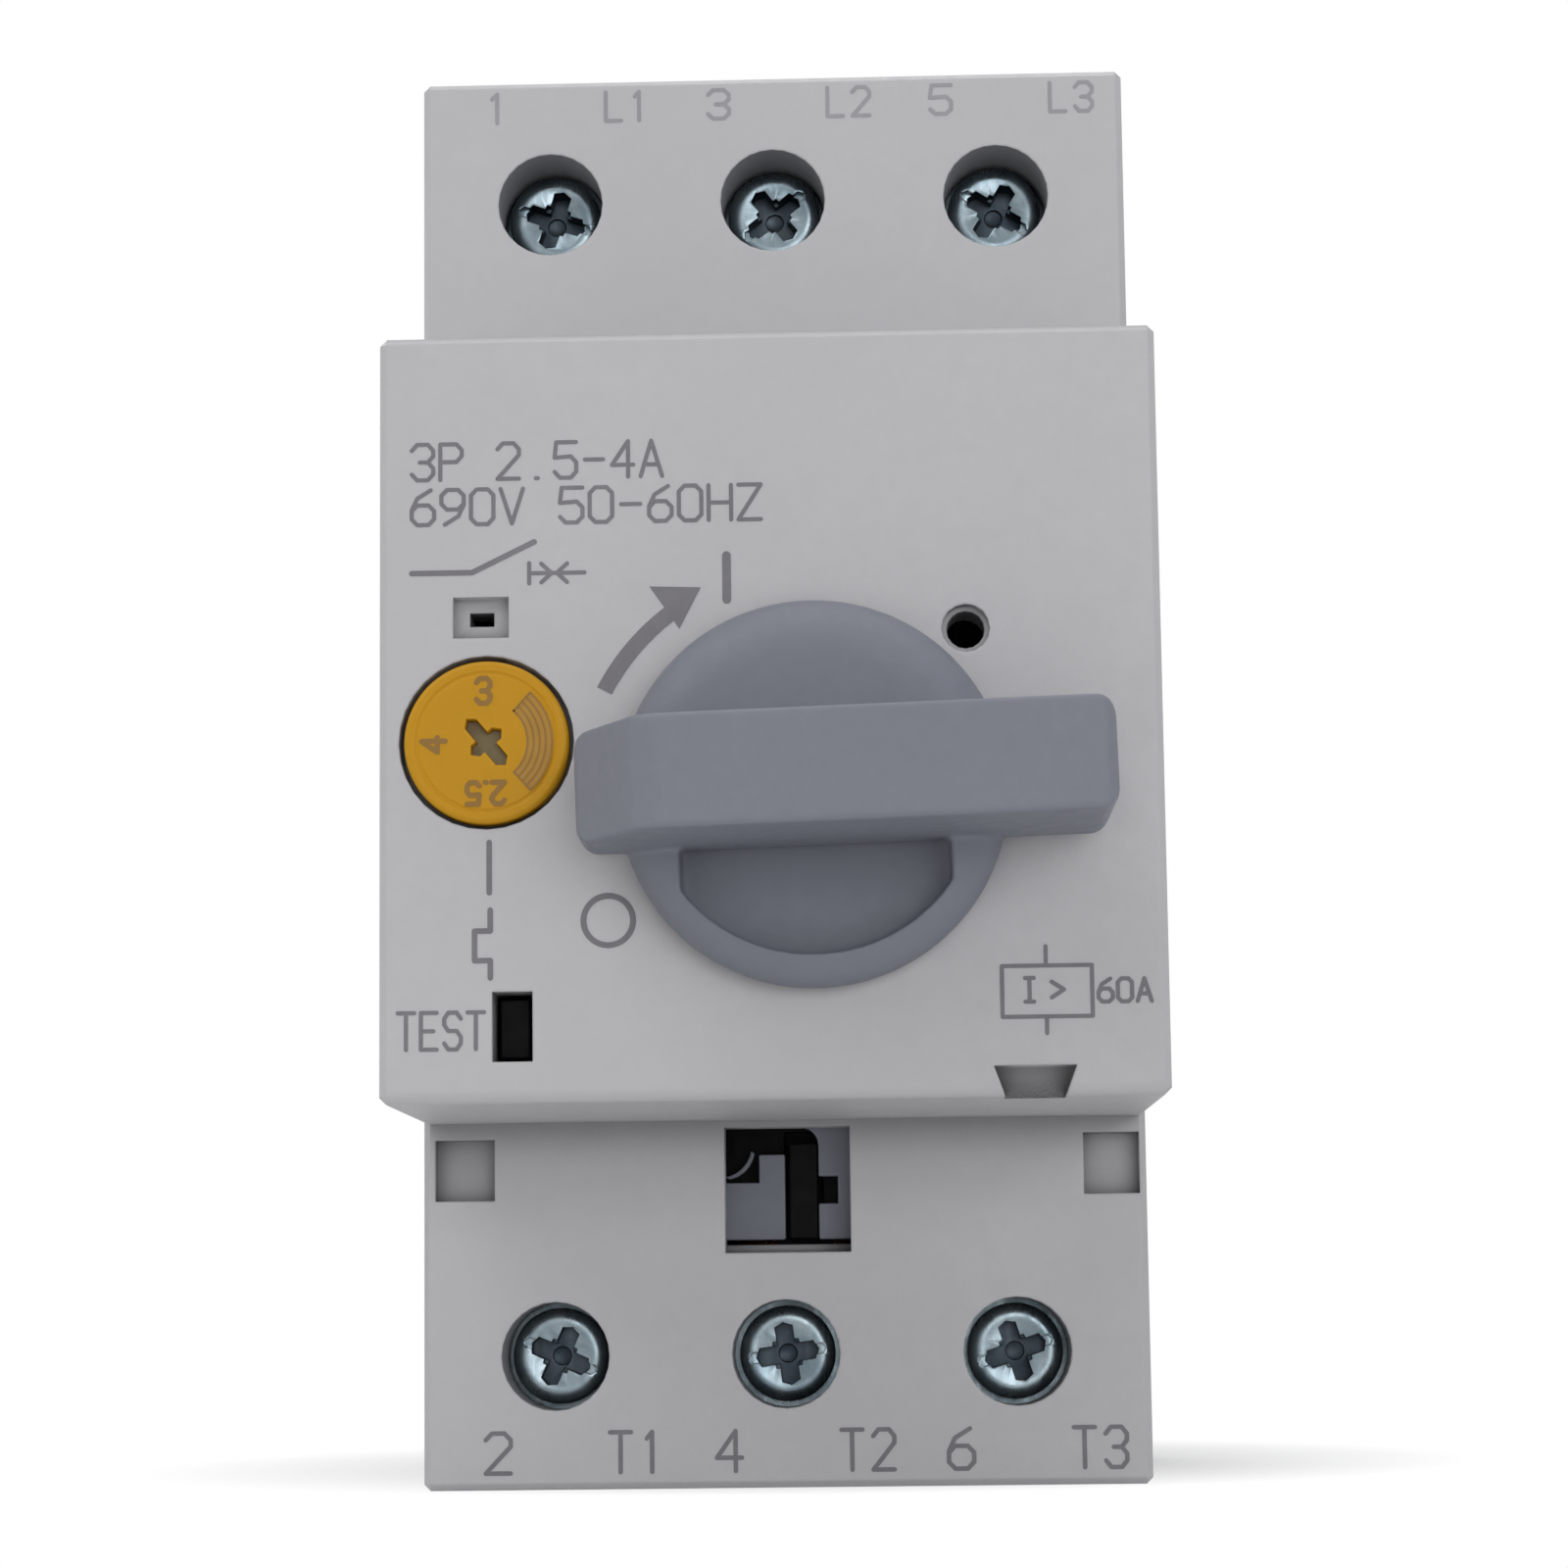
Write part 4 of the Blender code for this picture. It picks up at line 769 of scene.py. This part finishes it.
def accessory_window():
    """The grey insert with its stepped black opening, and black sheets behind it that paint the shade of the
    dark interior.
    """
    low, high = box_mm("accessory_insert")
    front, back = low.y, high.y
    insert = new_object("insert_plate", block(low, high), MATERIALS["handle_grey"])
    top, left, right, foot = -22.75, -3.7, 4.1, -30.55
    opening = [
        (left - 1.0, top + 0.5),
        (0.95, top + 0.5),
        *arc((0.95, top - 1.05), 1.15, 90, 0, 6),
        (2.1, -25.75),
        (3.3, -25.75),
        (3.3, -27.45),
        (2.1, -27.45),
        (2.1, -29.95),
        (right + 1.0, -29.95),
        (right + 1.0, foot - 0.5),
        (left - 1.0, foot - 0.5),
        (left - 1.0, -29.95),
        (0.0, -29.95),
        (0.0, -24.35),
        (-1.65, -24.35),
        (-1.65, -26.1),
        (left - 1.0, -26.1),
    ]
    boolean(insert, prism("Y", opening, front - 1, back + 1))
    soften(insert, 0.12)
    stand_in(insert, "accessory_insert")
    # Painted shade: a black sheet behind the insert makes the opening read as the dark interior.
    backing_shade = new_object(
        "insert_painted_shade",
        block(
            (low.x + BACKING_SHADE_PLAY, back + 0.25, low.z + BACKING_SHADE_PLAY),
            (high.x - BACKING_SHADE_PLAY, back + 1.0, high.z - BACKING_SHADE_PLAY),
        ),
        MATERIALS["black_plastic"],
    )
    nose_foot = box_mm("accessory_slider")[0].z
    slot_low = (NOSE_LEFT - NOSE_PLAY, back - 1, nose_foot - NOSE_PLAY)
    boolean(backing_shade, block(slot_low, (NOSE_RIGHT + NOSE_PLAY, back + 2, -22.9)))
    soften(backing_shade, 0.1)
    place(backing_shade, "root")
    # Painted shade: a black sheet behind the nose's slot, riding with the carrier.
    nose_shade = new_object(
        "slider_painted_shade",
        block((NOSE_LEFT - NOSE_SHADE_REACH, back + 1.3, -31.0), (NOSE_RIGHT + NOSE_SHADE_REACH, back + 1.7, -22.8)),
        MATERIALS["black_plastic"],
    )
    place(nose_shade, "contact_carrier")
    rib_line = arc((-3.9, -23.9), 2.0, -80, -10, 8)
    rib_back = [(x - 0.22, z + 0.16) for x, z in reversed(rib_line)]
    rib_mesh = prism("Y", rib_line + rib_back, back - 0.5, back + 0.4)
    rib = new_object("insert_rib", rib_mesh, MATERIALS["handle_grey"])
    soften(rib, 0.05)
    place(rib, "root")


# ---------------------------------------------------------------- printed marks

# Strokes of each sign, on a grid 4 wide and 6 high.
GLYPHS = {
    "0": [[(1, 0), (0, 1), (0, 5), (1, 6), (3, 6), (4, 5), (4, 1), (3, 0), (1, 0)]],
    "1": [[(1, 5), (2, 6), (2, 0)]],
    "2": [[(0, 5), (1, 6), (3, 6), (4, 5), (4, 4), (0, 0), (4, 0)]],
    "3": [
        [(0, 5), (1, 6), (3, 6), (4, 5), (4, 4), (3, 3), (4, 2), (4, 1), (3, 0), (1, 0), (0, 1)],
        [(3, 3), (1.5, 3)],
    ],
    "4": [[(3, 0), (3, 6), (0, 2), (4, 2)]],
    "5": [[(4, 6), (0.3, 6), (0, 3.4), (3, 3.6), (4, 2.6), (4, 1), (3, 0), (1, 0), (0, 1)]],
    "6": [
        [(3.4, 6), (1, 4.6), (0, 2.6), (0, 1), (1, 0), (3, 0), (4, 1), (4, 2.4), (3, 3.4), (1, 3.4), (0, 2.4)],
    ],
    "9": [
        [(0.6, 0), (3, 1.4), (4, 3.4), (4, 5), (3, 6), (1, 6), (0, 5), (0, 3.6), (1, 2.6), (3, 2.6), (4, 3.6)],
    ],
    "A": [[(0, 0), (2, 6), (4, 0)], [(0.7, 2), (3.3, 2)]],
    "E": [[(3.8, 6), (0, 6), (0, 0), (3.8, 0)], [(0, 3), (3, 3)]],
    "H": [[(0, 0), (0, 6)], [(4, 0), (4, 6)], [(0, 3), (4, 3)]],
    "I": [[(2, 0), (2, 6)], [(1, 6), (3, 6)], [(1, 0), (3, 0)]],
    "L": [[(0, 6), (0, 0), (3.6, 0)]],
    "P": [[(0, 0), (0, 6), (3, 6), (4, 5), (4, 4), (3, 3), (0, 3)]],
    "S": [[(4, 5), (3, 6), (1, 6), (0, 5), (0, 4), (1, 3), (3, 3), (4, 2), (4, 1), (3, 0), (1, 0), (0, 1)]],
    "T": [[(0, 6), (4, 6)], [(2, 6), (2, 0)]],
    "V": [[(0, 6), (2, 0), (4, 6)]],
    "Z": [[(0, 6), (4, 6), (0, 0), (4, 0)]],
    ">": [[(0.6, 5), (3.4, 3), (0.6, 1)]],
    "-": [[(0.3, 3), (3.7, 3)]],
    ".": [[(1.8, 0), (2.2, 0)]],
    " ": [],
}


def lettering(text, x, z, height, step, width, turn=0.0):
    """Stroke lines of a text whose first glyph's lower left corner is at x, z."""
    lines = []
    for i, glyph in enumerate(text):
        for line in GLYPHS[glyph]:
            points = [(i * step + u / 4 * width, v / 6 * height) for u, v in line]
            lines.append(turned_points(points, turn, (x, z)))
    return lines


def capsule(start, end, radius):
    """The outline of a round-ended stroke."""
    along = math.degrees(math.atan2(end[1] - start[1], end[0] - start[0]))
    return arc(end, radius, along - 90, along + 90, 5) + arc(start, radius, along + 90, along + 270, 5)


INK_STEP = 0.0006
INK_STEPS = 9


def strokes(name, lines, thick, y, material, body, proud=0.025):
    """Printed lines, a little proud of the face. Neighbouring strokes differ by a hair in height."""
    bm = bmesh.new()
    count = 0
    for line in lines:
        for start, end in zip(line, line[1:]):
            front = y - proud + INK_STEP * (count % INK_STEPS)
            outline = capsule(start, end, thick / 2)
            top = [bm.verts.new((u, front, v)) for u, v in outline]
            foot = [bm.verts.new((u, y + 0.02, v)) for u, v in outline]
            bm.faces.new(top)
            for i, vertex in enumerate(top):
                j = (i + 1) % len(top)
                bm.faces.new((vertex, foot[i], foot[j], top[j]))
            count += 1
    bmesh.ops.recalc_face_normals(bm, faces=bm.faces)
    place(new_object(name, to_mesh(bm, name), material), body)


def cover_strokes(name, lines, thick, y=PLATE, material=INK):
    strokes(name, lines, thick, y, material, "root")


def dial_strokes(name, lines, thick, proud=0.025):
    strokes(name, lines, thick, DIAL_FRONT, INK_DARK, "dial", proud)


def printed_marks():
    plate_marks()
    deck_marks()
    dial_marks()


def plate_marks():
    """Ratings, TEST, the on and off marks, and the switch, bimetal and overcurrent signs."""
    text = lettering("3P 2.5-4A", -20.6, 13.85, 2.1, 1.66, 1.25)
    text += lettering("690V 50-60HZ", -20.6, 11.2, 2.05, 1.72, 1.3)
    text += lettering("TEST", -21.4, -19.25, 2.1, 1.33, 0.95)
    cover_strokes("marks_text", text, 0.24)
    switch = [(-20.6, 8.35), (-17.1, 8.35), (-13.5, 10.1)]
    lead = [(-16.15, -7.4), (-16.15, -10.3)]
    bimetal = [(-16.1, -11.3), (-16.1, -12.5), (-17.0, -12.5), (-17.0, -14.2), (-16.1, -14.2), (-16.1, -15.2)]
    cover_strokes("marks_lines", [switch, lead, bimetal], 0.32)
    cover_strokes("mark_on", [[(-2.4, 9.1), (-2.4, 6.5)]], 0.5)
    small = [
        [(-13.8, 7.65), (-13.8, 8.85)],
        [(-13.8, 8.25), (-10.6, 8.25)],
        [(-13.1, 8.8), (-12.5, 8.25), (-13.1, 7.7)],
        [(-11.6, 8.8), (-12.2, 8.25), (-11.6, 7.7)],
        [(13.0, -14.95), (18.1, -14.95), (18.1, -17.85), (13.0, -17.85), (13.0, -14.95)],
        [(15.5, -13.85), (15.5, -14.95)],
        [(15.5, -17.85), (15.5, -18.8)],
    ]
    small += lettering("I>", 14.05, -17.0, 1.35, 1.6, 1.0)
    small += lettering("60A", 18.45, -17.05, 1.3, 1.1, 0.8)
    cover_strokes("marks_small", small, 0.24)
    cover_strokes("mark_off", [arc((-9.35, -12.0), 1.42, 0, 360, 36)], 0.34)

    outer = arc((AXIS_X, AXIS_Z), 14.0, 152, 125, 10)
    inner = arc((AXIS_X, AXIS_Z), 13.05, 125, 152, 10)
    shaft = new_object("mark_arrow_shaft", prism("Y", outer + inner, PLATE - 0.03, PLATE + 0.03), INK)
    place(shaft, "root")
    tip = [(-6.85, 7.35), (-3.9, 7.25), (-5.15, 4.85)]
    head = new_object("mark_arrow_head", prism("Y", tip, PLATE - 0.032, PLATE + 0.03), INK)
    place(head, "root")


POLE_PITCH = 14.3


def deck_marks():
    """The terminals' numbers, moulded faintly above and printed below."""
    load, line = [], []
    for i in range(len(POLES)):
        x = (i - 1) * POLE_PITCH
        load += lettering(str(2 * i + 2), x - 4.35, -43.95, 2.45, 2.2, 1.55)
        load += lettering(f"T{i + 1}", x + 3.35, -43.95, 2.45, 1.95, 1.3)
        line += lettering(str(2 * i + 1), x - 4.1, 42.3, 1.9, 2.0, 1.35)
        line += lettering(f"L{i + 1}", x + 3.6, 42.3, 1.9, 1.6, 1.1)
    cover_strokes("marks_load", load, 0.28, DECK)
    cover_strokes("marks_line", line, 0.26, DECK, INK_FAINT)


SCALE_INNER, SCALE_OUTER = 2.4, 3.8
SCALE_HALF_ANGLE = 0.838


def dial_marks():
    """The dial's numbers, and a fan of fine arcs closed by two radial lines."""
    centre = (DIAL_X, DIAL_Z)
    numbers = lettering("3", DIAL_X - 0.55, DIAL_Z + 2.25, 1.45, 1.0, 0.8)
    numbers += lettering("4", DIAL_X - 2.35, DIAL_Z - 0.55, 1.35, 1.0, 0.85, 90)
    numbers += lettering("2.5", DIAL_X + 1.05, DIAL_Z - 2.35, 1.25, 0.72, 0.7, 180)
    dial_strokes("dial_numbers", numbers, 0.3)
    fan = [arc(centre, r, -46, 46, 16) for r in (2.75, 3.1, 3.45)]
    fan += [arc(centre, r, -48, 48, 16) for r in (SCALE_INNER, SCALE_OUTER)]
    for a in (-SCALE_HALF_ANGLE, SCALE_HALF_ANGLE):
        c, s = math.cos(a), math.sin(a)
        fan.append([(DIAL_X + r * c, DIAL_Z + r * s) for r in (SCALE_INNER, SCALE_OUTER)])
    dial_strokes("dial_scale", fan, 0.12, proud=0.03)


# ---------------------------------------------------------------- springs


def springs():
    """Each coil as a smooth-shaded copy standing in for its CAD node; the end that the record says stays put is
    worked out, but nothing shortens the coil.
    """
    for joint in frame["record"]["behaviour"]["joints"]:
        for row in joint.get("deforming_nodes", ()):
            node, axis = row["node"], row["mode"][-1]
            coil = cad_copy(node, node + "_coil")
            shade(coil)
            stand_in(coil, node)
            at = "xyz".index(axis)
            low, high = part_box(node)
            anchor = (low + high) / 2
            anchor[at] = row[f"fixed_end_{axis}_m"]
            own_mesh(coil)


front_cover()
rotary_handle()
setting_dial()
for screw in SCREW_TURNS:
    terminal_screw(screw)
accessory_window()
for node, name, width in (
    ("rail_latch", "latch_moulding", 0.2),
    ("test_pusher", "pusher_moulding", 0.12),
    ("accessory_slider", "slider_moulding", 0.12),
):
    piece = cad_copy(node, name)
    soften(piece, width)
    stand_in(piece, node)
printed_marks()
springs()

# ---------------------------------------------------------------- studio

FLOOR_Z = CAD_BOUNDS[0][2]
LENS = 76.0
LENS_SHIFT = 0.12
ROLL = math.radians(0.68)
PITCH = math.radians(6.13)
YAW = math.radians(1.49)
CAMERA_SPOT = (5.5, -245.5, -35.2)  # mm

# Each lamp: size, place, what it points at, watts, colour. Distances in metres.
BODY_MIDDLE = (0.0, -0.03, 0.0)
NEUTRAL = (1.0, 1.0, 1.0)
LAMPS = {
    "key": ((0.9, 0.6), (-0.5, -0.6, 0.8), BODY_MIDDLE, 3.9, NEUTRAL),
    "top": ((0.8, 0.5), (0.1, 0.0, 0.9), BODY_MIDDLE, 3.0, NEUTRAL),
    "fill": ((0.7, 0.9), (0.9, -0.5, 0.2), BODY_MIDDLE, 1.5, (0.92, 0.96, 1.0)),
    "front": ((1.0, 0.6), (0.45, -1.25, 0.15), (0.0, -0.03, -0.02), 5.6, NEUTRAL),
    "side": ((0.5, 0.9), (-1.0, -0.25, 0.1), BODY_MIDDLE, 1.5, (1.0, 0.96, 0.88)),
    "rim": ((0.8, 0.6), (-0.5, 0.8, 0.5), (0.0, 0.0, 0.0), 3.0, NEUTRAL),
}


def lamp(name, size, spot, target, power, colour):
    data = bpy.data.lights.new(name, "AREA")
    data.shape = "RECTANGLE"
    data.size, data.size_y = size
    data.energy = power
    data.color = colour
    obj = bpy.data.objects.new(name, data)
    obj.location = spot
    obj.rotation_mode = "QUATERNION"
    obj.rotation_quaternion = (Vector(target) - Vector(spot)).to_track_quat("-Z", "Y")
    bpy.context.scene.collection.objects.link(obj)


def studio():
    scene = bpy.context.scene
    scene.view_settings.view_transform = "Standard"
    camera = bpy.data.objects.new("camera", bpy.data.cameras.new("camera"))
    camera.data.lens = LENS
    camera.data.shift_y = LENS_SHIFT
    camera.data.clip_start = 0.01
    camera.data.clip_end = 20.0
    turn = Matrix.Rotation(YAW, 4, "Z") @ Matrix.Rotation(PITCH, 4, "X") @ Matrix.Rotation(ROLL, 4, "Y")
    spot = Matrix.Translation(Vector(CAMERA_SPOT) * MM)
    camera.matrix_world = spot @ turn @ Matrix.Rotation(math.pi / 2, 4, "X")
    scene.collection.objects.link(camera)
    scene.camera = camera
    for name, settings in LAMPS.items():
        lamp(name, *settings)

    world = bpy.data.worlds.new("studio_world")
    scene.world = world
    world.use_nodes = True
    nodes, links = world.node_tree.nodes, world.node_tree.links
    nodes.clear()
    output = nodes.new("ShaderNodeOutputWorld")
    mixed = nodes.new("ShaderNodeMixShader")
    seen = nodes.new("ShaderNodeBackground")
    lit = nodes.new("ShaderNodeBackground")
    seen.inputs["Color"].default_value = (1.0, 1.0, 1.0, 1.0)
    lit.inputs["Color"].default_value = (0.97, 0.985, 1.0, 1.0)
    lit.inputs["Strength"].default_value = 0.2
    links.new(bright_rays(nodes, links), mixed.inputs[0])
    links.new(lit.outputs[0], mixed.inputs[1])
    links.new(seen.outputs[0], mixed.inputs[2])
    links.new(mixed.outputs[0], output.inputs["Surface"])


def bright_rays(nodes, links):
    """1 on camera, glossy and transmission rays."""
    path = nodes.new("ShaderNodeLightPath")
    total = path.outputs["Is Camera Ray"]
    for name in ("Is Glossy Ray", "Is Transmission Ray"):
        either = nodes.new("ShaderNodeMath")
        either.operation = "MAXIMUM"
        links.new(total, either.inputs[0])
        links.new(path.outputs[name], either.inputs[1])
        total = either.outputs[0]
    return total


# The floor keeps its shadow within the first reach and shines white beyond the second, in metres.
SHADOW_REACH, GLOW_REACH = 0.047, 0.066
FLOOR_HALF = 3


def floor():
    bm = bmesh.new()
    corners = [(FLOOR_HALF * x, FLOOR_HALF * y) for x, y in ((-1, -1), (1, -1), (1, 1), (-1, 1))]
    bm.faces.new([bm.verts.new((x, y, FLOOR_Z)) for x, y in corners])
    mesh = bpy.data.meshes.new("floor")
    bm.to_mesh(mesh)
    bm.free()
    tree = Tree("pale_floor")
    grain = tree.spread(tree.noise(30.0, 3.0), 0.0, 1.0)
    tree.set(Base_Color=tree.mix(grain, (0.86, 0.86, 0.86, 1), (0.89, 0.89, 0.89, 1)))
    tree.set(Roughness=0.9)
    away = tree.add("ShaderNodeVectorMath", {0: tree.place}, operation="LENGTH").outputs["Value"]
    far = tree.spread(away, 0.0, 1.0, SHADOW_REACH, GLOW_REACH)
    glow = tree.nodes.new("ShaderNodeEmission")
    mixed = tree.nodes.new("ShaderNodeMixShader")
    bright = bright_rays(tree.nodes, tree.links)
    factor = tree.add("ShaderNodeMath", {0: bright, 1: far}, operation="MULTIPLY")
    tree.links.new(factor.outputs[0], mixed.inputs[0])
    tree.links.new(tree.shader.outputs[0], mixed.inputs[1])
    tree.links.new(glow.outputs[0], mixed.inputs[2])
    tree.links.new(mixed.outputs[0], tree.output.inputs["Surface"])
    new_object("floor", mesh, tree.material)


studio()
floor()

bpy.context.view_layer.update()
